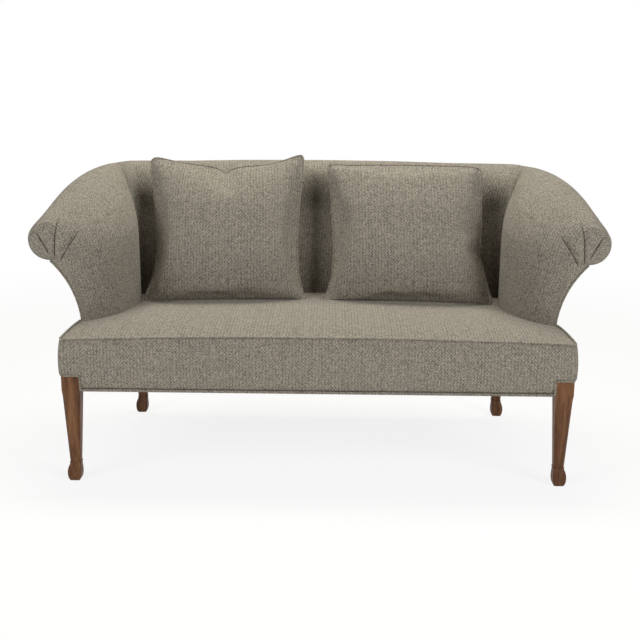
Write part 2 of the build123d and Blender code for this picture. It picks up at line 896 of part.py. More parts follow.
outside_right_arm = outside("arm")
export(outside_right_arm, "outside_right_arm")
export(left_of(outside_right_arm), "outside_left_arm")

with BuildPart() as back_cover:
    add(back_block)
    add(hollow("back", cover_thickness), mode=Mode.SUBTRACT)
export(back_cover.part, "back_cover")

with BuildPart() as back_pad:
    add(stuffed("back", stuffing_inset, stuffing_outer))
    for rail in (arm_top_rail_solid(cloth_fit), arm_lower_rail_solid(cloth_fit)):
        add(rail, mode=Mode.SUBTRACT)
        add(left_of(rail), mode=Mode.SUBTRACT)
    leaning = webbing_thickness + cloth_fit
    with BuildSketch(Plane.YZ.offset(-back_post_outer - cloth_fit)):
        with BuildLine():
            roof = top_rail_top + cloth_fit
            eave = back_roll_level - roll_radius
            rear = back_frame_thickness + cloth_fit
            Polyline(
                (across(frame_front(pad_bottom - 1) - leaning), pad_bottom - 1),
                (across(frame_front(roof) - leaning), roof),
                (across(frame_front(roof) + rear), roof),
                (across(frame_front(eave) + rear), eave),
                (across(overall_depth), eave),
                (across(overall_depth), pad_bottom - 1),
                close=True,
            )
        make_face()
    extrude(amount=2 * back_post_outer + 2 * cloth_fit, mode=Mode.SUBTRACT)
    for hand in (-1, 1):
        edges = sorted((hand * back_post_inner, hand * back_post_outer))
        leaning_board(edges[0], edges[1], rail_top, back_post_top, cloth_fit, Mode.SUBTRACT)
export(back_pad.part, "back_pad")

notch_top = leg_shoulder_height + 2 * welt_radius + cloth_fit
leg_gap = 2 * welt_radius + cloth_fit
with BuildPart() as outside_back:
    add(outside("back"))
    for hand in (-1, 1):
        near = hand * (rear_leg_inner - leg_gap)
        far = hand * seat_front_width
        ahead = rear_leg_depth - leg_gap
        upright(
            [(near, ahead), (far, ahead), (far, overall_depth), (near, overall_depth)],
            border_bottom - 1.0,
            notch_top - border_bottom + 1.0,
            Mode.SUBTRACT,
        )
export(outside_back.part, "outside_back")


# Seat pad, cover, border and welts
def crowned(lower, edge):
    """Seat block: crowned from front to back and a little from side to side, lowered and drawn in."""
    front = edge
    back = back_frame_depth
    side_radius = ((seat_front_width / 2) ** 2 + seat_side_fall**2) / 2 / seat_side_fall
    with BuildPart() as block:
        with BuildSketch(Plane.YZ):
            with BuildLine():
                start = (across(front), seat_edge_height + seat_side_fall - lower)
                rise = (across(seat_crown_depth / 2.6), between(seat_edge_height, seat_crown_height, 0.86) + 2.0 - lower)
                peak = (across(seat_crown_depth), seat_crown_height - lower)
                fall = (across(back), seat_crown_height - 8.0 - lower)
                ThreePointArc(start, (between(start[0], rise[0], 0.45), between(start[1], rise[1], 0.62)), rise)
                ThreePointArc(rise, (between(rise[0], peak[0], 0.5), between(rise[1], peak[1], 0.7)), peak)
                ThreePointArc(peak, (between(peak[0], fall[0], 0.5), between(peak[1], fall[1], 0.3)), fall)
                Polyline(fall, (fall[0], pad_bottom - 40), (start[0], pad_bottom - 40), start)
            make_face()
        turning = Axis((0, 0, seat_crown_height - side_radius), (0, 1, 0))
        swing = 2.2 * seat_front_width / 2 / side_radius * 180 / pi
        revolve(axis=turning, revolution_arc=swing / 2)
        mirror(about=Plane.YZ)
        upright(
            [
                (-side_line(edge) + edge, edge),
                (side_line(edge) - edge, edge),
                (side_line(back) - edge, back),
                (-side_line(back) + edge, back),
            ],
            pad_bottom,
            seat_crown_height,
            Mode.INTERSECT,
        )
    return block.part


soft_gap = 1.0
arm_clear = stuffed("arm", -soft_gap, -arm_flare / 4, -soft_gap)
back_clear = stuffed("back", -soft_gap, -arm_flare / 4, -soft_gap)
border_edge = 2 * welt_radius + cloth_fit

with BuildPart() as seat_cover:
    add(crowned(0.0, border_edge))
    add(crowned(cover_thickness, border_edge - 1.0), mode=Mode.SUBTRACT)
    add(arm_clear, mode=Mode.SUBTRACT)
    add(left_of(arm_clear), mode=Mode.SUBTRACT)
    add(back_clear, mode=Mode.SUBTRACT)
export(seat_cover.part, "seat_cover")

with BuildPart() as seat_pad:
    add(crowned(cover_thickness + cloth_fit, border_edge))
    add(arm_clear, mode=Mode.SUBTRACT)
    add(left_of(arm_clear), mode=Mode.SUBTRACT)
    add(back_clear, mode=Mode.SUBTRACT)
export(seat_pad.part, "seat_pad")

border_end = arm_depths[0] - cloth_fit
with BuildPart() as front_border:
    upright(
        [
            (-side_line(border_end), border_end),
            (-side_line(0), 0),
            (side_line(0), 0),
            (side_line(border_end), border_end),
            (side_line(border_end) - panel_thickness, border_end),
            (side_line(panel_thickness) - panel_thickness, panel_thickness),
            (-side_line(panel_thickness) + panel_thickness, panel_thickness),
            (-side_line(border_end) + panel_thickness, border_end),
        ],
        border_bottom,
        seat_edge_height - border_bottom,
    )
    for hand in (-1, 1):
        near = hand * (front_leg_inner - leg_gap)
        far = hand * seat_front_width
        upright(
            [(near, -leg_gap), (far, -leg_gap), (far, front_leg_back + leg_gap), (near, front_leg_back + leg_gap)],
            border_bottom - 1.0,
            notch_top - border_bottom + 1.0,
            Mode.SUBTRACT,
        )
export(front_border.part, "front_border")


def piping(points, radius, bend):
    """A round welt along a line of corner points."""
    with BuildPart() as cord:
        with BuildLine() as route:
            FilletPolyline(*points, radius=bend)
        with BuildSketch(Plane(route.line @ 0, z_dir=route.line % 0)):
            Circle(radius)
        sweep()
    return cord.part


welt_middle = welt_radius + cloth_fit / 6
seat_welt_level = seat_edge_height + welt_middle
seat_welt_end = arm_depths[0] - 2.0
seat_welt_side = side_line(seat_welt_end) - welt_radius
seat_welt_corner = side_line(0) - welt_radius
seat_welt = piping(
    [
        (-seat_welt_side, across(seat_welt_end), seat_welt_level),
        (-seat_welt_corner, across(welt_radius), seat_welt_level),
        (seat_welt_corner, across(welt_radius), seat_welt_level),
        (seat_welt_side, across(seat_welt_end), seat_welt_level),
    ],
    welt_radius,
    1.2 * welt_radius,
)
export(seat_welt, "seat_welt")

base_level = apron_bottom + welt_radius
step_level = leg_shoulder_height + welt_middle
front_step = front_leg_inner - welt_middle
front_step_depth = front_leg_back + welt_middle


def base_line(depth):
    """X of the base welt along the side at this depth."""
    return (side_line(depth) if depth < border_end else arm_line(depth)) - welt_radius


base_back = seat_box_depth - welt_radius
rear_step = rear_leg_inner - welt_middle
welt_corner = rear_corner_radius * 0.6
rear_step_depth = rear_leg_depth - welt_middle
half_base = [
    (front_step, welt_radius, base_level),
    (front_step, welt_radius, step_level),
    (base_line(welt_radius), welt_radius, step_level),
    (base_line(front_step_depth), front_step_depth, step_level),
    (base_line(front_step_depth), front_step_depth, base_level),
    (base_line(border_end - 20.0), border_end - 20.0, base_level),
    (base_line(border_end + 20.0), border_end + 20.0, base_level),
    (base_line(rear_step_depth), rear_step_depth, base_level),
    (base_line(rear_step_depth), rear_step_depth, step_level),
    (base_line(base_back - welt_corner), base_back - welt_corner, step_level),
    (base_line(base_back) - welt_corner, base_back, step_level),
    (rear_step, base_back, step_level),
    (rear_step, base_back, base_level),
]
base_route = [(-cloth_fit, across(base_back), base_level)]
base_route += [(-x, across(depth), level) for x, depth, level in reversed(half_base)]
base_route += [(x, across(depth), level) for x, depth, level in half_base]
base_route += [(cloth_fit, across(base_back), base_level)]
base_welt = piping(base_route, welt_radius, 1.3 * welt_radius)
export(base_welt, "base_welt")

welt_base = arm_line(arm_depths[0])
welt_high, welt_bend, welt_low = outside_face(arm_stations[0], arm_welt_radius)
welt_across = across(arm_depths[0] - arm_welt_radius - cloth_fit)
right_arm_welt = piping(
    [
        (welt_base + welt_low[0], welt_across, seat_crown_height),
        (welt_base + welt_bend[0], welt_across, welt_bend[1]),
        (welt_base + welt_high[0], welt_across, welt_high[1]),
    ],
    arm_welt_radius,
    5 * roll_radius,
)
export(right_arm_welt, "right_arm_welt")
export(left_of(right_arm_welt), "left_arm_welt")

with BuildPart() as dust_cover:
    dust_back = seat_box_depth - panel_thickness - welt_radius
    dust_edge = 2 * panel_thickness + welt_radius
    upright(
        [
            (-front_leg_inner, front_rail_depth),
            (front_leg_inner, front_rail_depth),
            (front_leg_inner, front_leg_back),
            (side_line(front_leg_back) - dust_edge, front_leg_back),
            (side_line(rear_leg_depth) - dust_edge, rear_leg_depth),
            (rear_leg_inner, rear_leg_depth),
            (rear_leg_inner, dust_back),
            (-rear_leg_inner, dust_back),
            (-rear_leg_inner, rear_leg_depth),
            (-side_line(rear_leg_depth) + dust_edge, rear_leg_depth),
            (-side_line(front_leg_back) + dust_edge, front_leg_back),
            (-front_leg_inner, front_leg_back),
        ],
        rail_bottom - dust_cover_thickness,
        dust_cover_thickness,
    )
export(dust_cover.part, "dust_cover")


# Loose cushions
lean_cos = cos(radians(cushion_lean))
lean_sin = sin(radians(cushion_lean))
cushion_bottom = seat_crown_height + 1.75 * cushion_welt_radius
cushion_middle = (
    cushion_foot_depth + cushion_height / 2 * lean_sin,
    cushion_bottom + cushion_height / 2 * lean_cos,
)


def cushion_plane(rise=0.0):
    """Plane of the right cushion's seam, or a plane this far in front of it."""
    middle = Plane(
        origin=(cushion_offset, across(cushion_middle[0]), cushion_middle[1]),
        x_dir=(1, 0, 0),
        z_dir=(0, -lean_cos, lean_sin),
    )
    return middle.offset(rise)


def cushion_outline(width, height, draw):
    """Square with its four sides drawn in."""
    a = width / 2
    b = height / 2
    ThreePointArc((-a, -b), (0, -b + draw), (a, -b))
    ThreePointArc((a, -b), (a - draw, 0), (a, b))
    ThreePointArc((a, b), (0, b - draw), (-a, b))
    ThreePointArc((-a, b), (-a + draw, 0), (-a, -b))


crown_steps = ((0.0, 1.0, 1.0), (0.34, 0.93, 0.8), (0.62, 0.79, 0.4), (0.84, 0.58, 0.05), (0.96, 0.34, -0.25), (1.0, 0.12, -0.2))


def cushion_half(front, inset):
    half = cushion_thickness / 2 - inset
    with BuildPart() as side:
        for rise, size, draw in crown_steps:
            with BuildSketch(cushion_plane(front * rise * half)):
                with BuildLine():
                    width = (cushion_width - 2 * inset) * size
                    height = (cushion_height - 2 * inset) * size
                    cushion_outline(width, height, cushion_draw_in * (draw if draw else 0.01))
                make_face()
        loft()
    return side.part


def cushion_body(inset):
    with BuildPart() as body:
        add(cushion_half(1, inset))
        add(cushion_half(-1, inset))
    return body.part


cushion_fill = cushion_body(cushion_cloth + cloth_fit)
export(cushion_fill, "right_cushion_fill")
export(left_of(cushion_fill), "left_cushion_fill")

with BuildPart() as cushion_cover:
    add(cushion_body(0.0))
    add(cushion_body(cushion_cloth), mode=Mode.SUBTRACT)
export(cushion_cover.part, "right_cushion_cover")
export(left_of(cushion_cover.part), "left_cushion_cover")

with BuildPart() as cushion_welt:
    with BuildLine(cushion_plane()) as edge:
        reach = cushion_welt_radius + cloth_fit
        ear = 1.224 * reach
        cushion_outline(cushion_width + 2 * ear, cushion_height + 2 * ear, cushion_draw_in + ear - reach)
        fillet(edge.vertices(), 1.1 * cushion_welt_radius)
    with BuildSketch(Plane(edge.line @ 0, z_dir=edge.line % 0)):
        Circle(cushion_welt_radius)
    sweep()
export(cushion_welt.part, "right_cushion_welt")
export(left_of(cushion_welt.part), "left_cushion_welt")
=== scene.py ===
# %% [markdown]
# # A rolled arm sofa, dressed
# This lesson dresses a measured sofa frame in cloth. The construction model gives every rail, leg and
# pad in its place; here the parts that show get the softness, the seams and the finishes of the real thing.
# We start by loading that frame and keeping its box, because the dressed sofa may grow past it by a few
# millimetres only.

# %% Load the frame
import json
import math

import bmesh
import bpy
import numpy as np
from mathutils import Matrix, Vector


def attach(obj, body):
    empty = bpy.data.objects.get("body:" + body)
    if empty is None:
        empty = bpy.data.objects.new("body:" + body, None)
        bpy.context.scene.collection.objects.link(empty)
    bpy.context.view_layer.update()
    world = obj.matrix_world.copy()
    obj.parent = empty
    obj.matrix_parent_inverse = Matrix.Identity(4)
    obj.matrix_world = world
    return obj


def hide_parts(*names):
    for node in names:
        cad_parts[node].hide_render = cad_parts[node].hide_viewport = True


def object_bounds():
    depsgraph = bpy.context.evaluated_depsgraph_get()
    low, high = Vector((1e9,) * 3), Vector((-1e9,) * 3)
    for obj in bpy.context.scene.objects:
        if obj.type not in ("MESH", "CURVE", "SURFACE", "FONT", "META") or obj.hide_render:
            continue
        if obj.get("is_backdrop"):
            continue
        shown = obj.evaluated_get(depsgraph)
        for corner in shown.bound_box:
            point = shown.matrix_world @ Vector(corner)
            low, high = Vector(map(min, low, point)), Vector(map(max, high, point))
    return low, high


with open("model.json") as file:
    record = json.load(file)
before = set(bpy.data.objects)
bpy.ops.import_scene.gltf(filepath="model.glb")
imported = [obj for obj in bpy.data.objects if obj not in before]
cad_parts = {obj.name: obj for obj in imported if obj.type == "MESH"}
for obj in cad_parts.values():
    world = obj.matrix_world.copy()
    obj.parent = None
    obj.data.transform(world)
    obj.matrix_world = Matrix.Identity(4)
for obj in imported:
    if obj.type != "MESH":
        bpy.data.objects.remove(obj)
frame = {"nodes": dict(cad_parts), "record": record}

cad_low, cad_high = [list(corner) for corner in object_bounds()]
scene = bpy.context.scene
print("frame:", len(frame["nodes"]), "nodes,", [round(h - l, 3) for l, h in zip(cad_low, cad_high)], "m")

# %% [markdown]
# ## The camera
# The picture was taken from a little above the back, about two and a half metres away, looking slightly
# down. The horizon also tips by half a degree. The leg bottoms, the seat edge and the back edge fix these
# numbers, so the camera is set from them and needs no shift.

# %% Camera
camera_place = (0.029, -2.905, 1.0776)
camera_pitch, camera_turn, camera_tip = 13.585, 0.519, 0.5


def stand(name, data):
    """Puts a camera, a lamp or a mesh into the scene."""
    holder = bpy.data.objects.new(name, data)
    scene.collection.objects.link(holder)
    return holder


camera_data = bpy.data.cameras.new("camera")
camera_data.lens, camera_data.sensor_width = 55.9, 36.0
camera_data.sensor_fit = "HORIZONTAL"
camera = stand("camera", camera_data)
camera.matrix_world = (
    Matrix.Translation(camera_place)
    @ Matrix.Rotation(math.radians(camera_turn), 4, "Z")
    @ Matrix.Rotation(math.radians(90 - camera_pitch), 4, "X")
    @ Matrix.Rotation(math.radians(camera_tip), 4, "Z")
)
scene.camera = camera
print("camera lens", camera_data.lens, "mm")

# %% [markdown]
# ## The studio
# The surround is white to the eye but gives almost no light, so that the hollows behind the cushions stay
# dark. Two soft lamps at the front, one on each side, light the upright faces about equally. A long warm
# lamp overhead, a little behind, makes the seat and the tops of the arms the brightest parts. The level is
# one where a colour shows about as it is written.

# %% Studio
sky_tint, sky_strength = (1.0, 0.985, 0.96, 1), 0.02
scene.view_settings.view_transform = "Standard"
world = bpy.data.worlds.new("studio")
scene.world = world
world.use_nodes = True
sky = world.node_tree
sky_light = sky.nodes["Background"]
sky_light.inputs["Color"].default_value = sky_tint
sky_light.inputs["Strength"].default_value = sky_strength
sky_white = sky.nodes.new("ShaderNodeBackground")
sky_white.inputs["Color"].default_value = (1, 1, 1, 1)
sky_path = sky.nodes.new("ShaderNodeLightPath")
sky_mix = sky.nodes.new("ShaderNodeMixShader")
sky.links.new(sky_path.outputs["Is Camera Ray"], sky_mix.inputs[0])
sky.links.new(sky_light.outputs[0], sky_mix.inputs[1])
sky.links.new(sky_white.outputs[0], sky_mix.inputs[2])
sky.links.new(sky_mix.outputs[0], sky.nodes["World Output"].inputs["Surface"])

front_tint, top_tint = (1.0, 0.99, 0.98), (1.0, 0.965, 0.865)
front_size, top_size = (1.5, 1.5), (2.6, 1.0)
lamp_side, lamp_front, lamp_height = 2.6, -2.5, 2.2
aim_side, aim_height = 0.1, 0.45
floor_half = 9


def soft_lamp(name, place, aim, size, watts, tint):
    lamp = bpy.data.lights.new(name, "AREA")
    lamp.shape, lamp.size, lamp.size_y = "RECTANGLE", size[0], size[1]
    lamp.energy, lamp.color = watts, tint
    holder = stand(name, lamp)
    holder.location = place
    holder.rotation_euler = (Vector(aim) - Vector(place)).to_track_quat("-Z", "Y").to_euler()


for name, hand, watts in (("right", 1, 75), ("left", -1, 65)):
    lamp_place = (lamp_side * hand, lamp_front, lamp_height)
    soft_lamp(name, lamp_place, (aim_side * hand, 0.0, aim_height), front_size, watts, front_tint)
soft_lamp("top", (0.0, 0.8, 3.1), (0, 0.1, 0.4), top_size, 86, top_tint)

floor_mesh = bpy.data.meshes.new("floor")
floor_corners = [(-1, -1), (1, -1), (1, 1), (-1, 1)]
floor_mesh.from_pydata([(x * floor_half, y * floor_half, 0) for x, y in floor_corners], [], [(0, 1, 2, 3)])
floor = stand("floor", floor_mesh)
floor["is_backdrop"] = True
print("studio ready")

# %% [markdown]
# ## Finishes
# A finish here is a small graph of nodes. A few helpers keep the graphs short: one adds a node and sets or
# links its inputs, and the others do arithmetic, noise, colour ramps and bumps with it.


# %% Node helpers
def new_finish(name, roughness):
    finish = bpy.data.materials.new(name)
    finish.use_nodes = True
    shader = finish.node_tree.nodes["Principled BSDF"]
    shader.inputs["Roughness"].default_value = roughness
    return finish, finish.node_tree, shader


def put(tree, kind, inputs=None, **settings):
    """Adds a node; an input is a plain value or the socket of another node."""
    node = tree.nodes.new(kind)
    for key, value in settings.items():
        setattr(node, key, value)
    for key, value in (inputs or {}).items():
        if isinstance(value, bpy.types.NodeSocket):
            tree.links.new(value, node.inputs[key])
        else:
            node.inputs[key].default_value = value
    return node


def sum_of(tree, operation, *values):
    return put(tree, "ShaderNodeMath", dict(enumerate(values)), operation=operation).outputs[0]


def vector_of(tree, operation, inputs):
    return put(tree, "ShaderNodeVectorMath", inputs, operation=operation).outputs[0]


def noise_of(tree, place, scale, detail, output="Fac", **more):
    inputs = {"Vector": place, "Scale": scale, "Detail": detail, **more}
    return put(tree, "ShaderNodeTexNoise", inputs).outputs[output]


def ramp_of(tree, socket, stops):
    node = put(tree, "ShaderNodeValToRGB", {"Fac": socket})
    first, last = node.color_ramp.elements[0], node.color_ramp.elements[1]
    first.position, first.color = stops[0][0], (*stops[0][1], 1)
    last.position, last.color = stops[-1][0], (*stops[-1][1], 1)
    for place, colour in stops[1:-1]:
        node.color_ramp.elements.new(place).color = (*colour, 1)
    return node.outputs["Color"]


def bump_with(tree, shader, height, strength, distance):
    bump = put(tree, "ShaderNodeBump", {"Strength": strength, "Distance": distance, "Height": height})
    tree.links.new(bump.outputs[0], shader.inputs["Normal"])


print("helpers ready")

# %% [markdown]
# ### The tweed
# The cover is a chunky wool tweed in warm grey and olive. Its weave is a small pointed twill: each yarn goes
# over two and under two, and the steps go back and forth, so the pattern repeats every four yarns without
# a marked diagonal. Every float of yarn has its own tone. The weave is drawn from flat cloth coordinates
# that every cover piece carries, in metres, so it keeps one scale all over the sofa.

# %% Tweed finish
yarn_pitch, weft_spread = 0.0022, 1.14
drift_scale, drift_share = 45.0, 0.5
slubs_per_metre, slub_swing, yarn_swing, yarn_apart = 120.0, 0.6, 0.10, 7.31
float_swing, side_swing = 0.50, 0.10
valley_painted_shade, crown_painted_light = 0.74, 0.30
warp_seed, weft_seed = 3.7, 11.3


def tweed_finish(name, pitch, dark, light):
    finish, tree, shader = new_finish(name, 0.92)
    shader.inputs["Sheen Weight"].default_value = 0.12
    shader.inputs["Sheen Roughness"].default_value = 0.45
    shader.inputs["Specular IOR Level"].default_value = 0.15
    cloth = put(tree, "ShaderNodeUVMap", uv_map="weave").outputs["UV"]
    drift = noise_of(tree, cloth, drift_scale, 1.0, "Color")
    drift = vector_of(tree, "SUBTRACT", {0: drift, 1: (0.5, 0.5, 0.5)})
    drift = vector_of(tree, "SCALE", {0: drift, "Scale": drift_share * pitch})
    axes = put(tree, "ShaderNodeSeparateXYZ", {0: vector_of(tree, "ADD", {0: cloth, 1: drift})})
    warp_place = sum_of(tree, "DIVIDE", axes.outputs[0], pitch)
    weft_place = sum_of(tree, "DIVIDE", axes.outputs[1], weft_spread * pitch)
    warp_yarn = sum_of(tree, "FLOOR", warp_place)
    weft_yarn = sum_of(tree, "FLOOR", weft_place)
    shift = sum_of(tree, "PINGPONG", weft_yarn, 2.0)
    step = sum_of(tree, "FLOORED_MODULO", sum_of(tree, "SUBTRACT", warp_yarn, shift), 4.0)
    warp_over = sum_of(tree, "LESS_THAN", step, 1.5)

    def crown(place):
        """Round height of a yarn across its width."""
        middle = sum_of(tree, "MULTIPLY_ADD", sum_of(tree, "FRACT", place), 2.0, -1.0)
        return sum_of(tree, "SUBTRACT", 1.0, sum_of(tree, "MULTIPLY", middle, middle))

    def yarn_tone(yarn, run, seed):
        """What a yarn adds to the tone: slubs along it, and a little of its own."""
        apart = sum_of(tree, "MULTIPLY", yarn, yarn_apart)
        along = sum_of(tree, "MULTIPLY", run, slubs_per_metre)
        line = put(tree, "ShaderNodeCombineXYZ", {0: apart, 1: along, 2: seed}).outputs[0]
        slub = sum_of(tree, "MULTIPLY_ADD", noise_of(tree, line, 1.0, 2.0), slub_swing, -slub_swing / 2)
        seeded = sum_of(tree, "ADD", yarn, seed)
        own = put(tree, "ShaderNodeTexWhiteNoise", {"W": seeded}, noise_dimensions="1D").outputs["Value"]
        own = sum_of(tree, "MULTIPLY_ADD", own, yarn_swing, -yarn_swing / 2)
        return sum_of(tree, "ADD", slub, own)

    cell = put(tree, "ShaderNodeCombineXYZ", {0: warp_yarn, 1: weft_yarn}).outputs[0]
    cell = put(tree, "ShaderNodeTexWhiteNoise", {"Vector": cell}, noise_dimensions="2D").outputs["Value"]
    float_tone = sum_of(tree, "MULTIPLY_ADD", cell, float_swing, 0.5 - float_swing / 2)
    warp_float = sum_of(tree, "SUBTRACT", float_tone, side_swing)
    weft_float = sum_of(tree, "ADD", float_tone, side_swing)
    warp_tone = sum_of(tree, "ADD", yarn_tone(warp_yarn, axes.outputs[1], warp_seed), warp_float)
    weft_tone = sum_of(tree, "ADD", yarn_tone(weft_yarn, axes.outputs[0], weft_seed), weft_float)
    tone = put(tree, "ShaderNodeMix", {0: warp_over, 2: weft_tone, 3: warp_tone}).outputs[0]
    height = put(tree, "ShaderNodeMix", {0: warp_over, 2: crown(weft_place), 3: crown(warp_place)}).outputs[0]
    middle = [0.5 * (a + b) for a, b in zip(dark, light)]
    colour = ramp_of(tree, tone, [(0.0, dark), (0.5, middle), (1.0, light)])
    # painted shade: the cloth colour is darker in the valleys between the yarns and brighter on their crowns
    depth = sum_of(tree, "MULTIPLY_ADD", height, crown_painted_light, valley_painted_shade)
    shaded = put(
        tree, "ShaderNodeMix", {0: 1.0, 6: colour, 7: depth}, data_type="RGBA", blend_type="MULTIPLY"
    )
    tree.links.new(shaded.outputs[2], shader.inputs["Base Color"])
    bump_with(tree, shader, height, 0.55, 0.0009)
    return finish


tweed = tweed_finish("tweed", yarn_pitch, (0.052, 0.046, 0.036), (0.495, 0.451, 0.376))
print("tweed: yarn pitch", yarn_pitch * 1000, "mm")

# %% [markdown]
# ### Wood
# The legs are a mid brown stained hardwood with long grain and fine pores. The frame inside is plain pale
# timber. One noise stretched along the leg gives the figure, and a much finer one gives the pores.

# %% Wood finishes
grain_stretch, pore_stretch, grain_share = (60, 60, 5), (620, 620, 26), 0.72


def wood_finish(name, dark, mid, light, roughness):
    finish, tree, shader = new_finish(name, roughness)
    shader.inputs["Specular IOR Level"].default_value = 0.25
    place = put(tree, "ShaderNodeTexCoord").outputs["Object"]
    grain_at = put(tree, "ShaderNodeMapping", {"Vector": place, "Scale": grain_stretch}).outputs[0]
    pores_at = put(tree, "ShaderNodeMapping", {"Vector": place, "Scale": pore_stretch}).outputs[0]
    figure = sum_of(tree, "MULTIPLY", noise_of(tree, grain_at, 1.0, 5.0, Distortion=0.6), grain_share)
    pores = noise_of(tree, pores_at, 1.0, 2.0)
    both = sum_of(tree, "MULTIPLY_ADD", pores, 1 - grain_share, figure)
    colour = ramp_of(tree, both, [(0.32, dark), (0.5, mid), (0.68, light)])
    tree.links.new(colour, shader.inputs["Base Color"])
    bump_with(tree, shader, pores, 0.25, 0.0004)
    return finish


leg_wood = wood_finish("leg_wood", (0.050, 0.019, 0.007), (0.145, 0.062, 0.026), (0.26, 0.128, 0.058), 0.5)
frame_wood = wood_finish("frame_wood", (0.36, 0.24, 0.13), (0.50, 0.36, 0.21), (0.62, 0.47, 0.30), 0.7)
print("woods:", leg_wood.name, frame_wood.name)

# %% [markdown]
# ### The hidden materials
# The hidden pieces also get a real finish, because the library shows the parts one by one. Hessian, lining
# and stuffing carry no cloth coordinates, so their weave is made of waves in space. The springs are steel
# with a little wear.


# %% Hidden materials
def plain_cloth(name, pitch, dark, light):
    """An open plain weave for pieces without cloth coordinates: wave patterns across each other."""
    finish, tree, shader = new_finish(name, 0.95)
    place = put(tree, "ShaderNodeTexCoord").outputs["Object"]
    axes = put(tree, "ShaderNodeSeparateXYZ", {0: place})
    turns = [sum_of(tree, "MULTIPLY", axes.outputs[index], 2 * math.pi / pitch) for index in range(3)]
    across, along, up = [sum_of(tree, "SINE", turn) for turn in turns]
    woven = sum_of(tree, "MULTIPLY", sum_of(tree, "ADD", across, up), sum_of(tree, "ADD", along, up))
    fuzz = noise_of(tree, place, 180.0, 3.0)
    tone = sum_of(tree, "ADD", sum_of(tree, "MULTIPLY_ADD", woven, 0.12, -0.02), fuzz)
    tree.links.new(ramp_of(tree, tone, [(0.25, dark), (0.75, light)]), shader.inputs["Base Color"])
    bump_with(tree, shader, woven, 0.4, 0.0005)
    return finish


hessian = plain_cloth("hessian", 0.0045, (0.24, 0.165, 0.085), (0.52, 0.40, 0.24))
lining = plain_cloth("lining", 0.0022, (0.012, 0.012, 0.012), (0.040, 0.039, 0.038))
stuffing = plain_cloth("stuffing", 0.006, (0.60, 0.57, 0.50), (0.82, 0.80, 0.74))

spring_steel, steel_tree, steel_shader = new_finish("spring_steel", 0.38)
steel_shader.inputs["Metallic"].default_value = 1.0
steel_place = put(steel_tree, "ShaderNodeTexCoord").outputs["Object"]
steel_wear = noise_of(steel_tree, steel_place, 90.0, 4.0)
steel_colour = ramp_of(steel_tree, steel_wear, [(0.3, (0.22, 0.21, 0.20)), (0.7, (0.46, 0.46, 0.47))])
steel_tree.links.new(steel_colour, steel_shader.inputs["Base Color"])

finishes = {
    "leg_wood": leg_wood, "frame_wood": frame_wood, "tweed": tweed, "hessian": hessian,
    "lining": lining, "stuffing": stuffing, "spring_steel": spring_steel,
}
print("finishes:", sorted(finishes))

# %% [markdown]
# ### The floor
# A lit floor comes out grey in places, and a glowing one shows no shadow. So the floor is a mix: to the eye
# it mostly glows white, and a small share of it is lit, which keeps a faint shadow under the sofa. Away from
# the sofa the glow takes over, and the floor runs into the white surround.

# %% Floor finish
fade_from, fade_to, glow_near = 1.3, 3.4, 0.86
floor_finish, floor_tree, floor_shader = new_finish("floor", 0.95)
floor_shader.inputs["Base Color"].default_value = (0.93, 0.93, 0.925, 1)
floor_shader.inputs["Specular IOR Level"].default_value = 0.0
floor_glow = put(floor_tree, "ShaderNodeEmission", {"Color": (1, 1, 1, 1), "Strength": 1.0})
floor_path = put(floor_tree, "ShaderNodeLightPath")
floor_seen = [floor_path.outputs[kind] for kind in ("Is Camera Ray", "Is Glossy Ray")]
floor_seen = sum_of(floor_tree, "MINIMUM", sum_of(floor_tree, "ADD", *floor_seen), 1.0)
floor_place = put(floor_tree, "ShaderNodeNewGeometry").outputs["Position"]
floor_far = put(floor_tree, "ShaderNodeVectorMath", {0: floor_place}, operation="LENGTH").outputs["Value"]
floor_fade = put(
    floor_tree, "ShaderNodeMapRange", {0: floor_far, 1: fade_from, 2: fade_to, 3: glow_near, 4: 1.0},
    interpolation_type="SMOOTHSTEP",
).outputs[0]
floor_share = sum_of(floor_tree, "MULTIPLY", floor_seen, floor_fade)
floor_both = put(
    floor_tree, "ShaderNodeMixShader", {0: floor_share, 1: floor_shader.outputs[0], 2: floor_glow.outputs[0]}
)
floor_tree.links.new(floor_both.outputs[0], floor_tree.nodes["Material Output"].inputs["Surface"])
floor_mesh.materials.append(floor_finish)
print("floor glows from", glow_near, "near the sofa to 1 at", fade_to, "m")

# %% [markdown]
# ## The lines of the sofa
# Every cover follows the same few lines: the side of the seat, which closes in towards the back, and a set
# of upright slices through the arms and the back. The numbers are the same sizes, in millimetres, that the
# construction uses. A slice says where the outside of the frame is, how thick the stuffing is, how the
# inside face leans, and where the roll sits. The left roll climbs a little later than the right one, as
# hand-stuffed arms do.

# %% Sizes and slices
depth_all = 733.0
seat_half, seat_half_rear, seat_depth = 691.0, 614.0, 640.0
arm_front, arm_inset, arm_thick, arm_nose = 158.0, 5.0, 98.0, 190.0
arm_flare, roll_radius, front_roll_radius = 73.0, 53.0, 57.0
crease_overhang, blunt_length, blunt_share = 22.0, 30.0, 0.12
front_roll, back_roll, roll_spread, spread_run = 641.0, 769.0, 8.0, 0.3
climb = {-1: 1.15, 1: 1.02}
back_thick, back_overhang, back_crown, back_out_share = 148.0, 40.0, 6.0, 0.55
crease_depth, crease_thick, crease_angle = 565.0, 60.0, 45.0
pad_bottom, shoulder_drop, corner_radius, corner_turn = 370.9, 76.0, 22.0, 68
arm_brow_gap, back_brow_gap = 1.0, 11.0
# lean of the inside face at half height and at the shoulder, as a share of the flare or of the back
nose_lean, side_lean, crease_lean, back_lean = (0.2, 0.72), (-0.12, -0.17), (0.16, 0.4), (0.29, 0.65)
slice_keys = ("x", "depth", "angle", "thick", "mid", "top", "out", "roll_out", "roll_level", "roll_r", "brow")


def mix(a, b, share):
    return a + (b - a) * share


def side_line(depth):
    return mix(seat_half, seat_half_rear, depth / seat_depth)


def arm_line(depth):
    return side_line(depth) - arm_inset


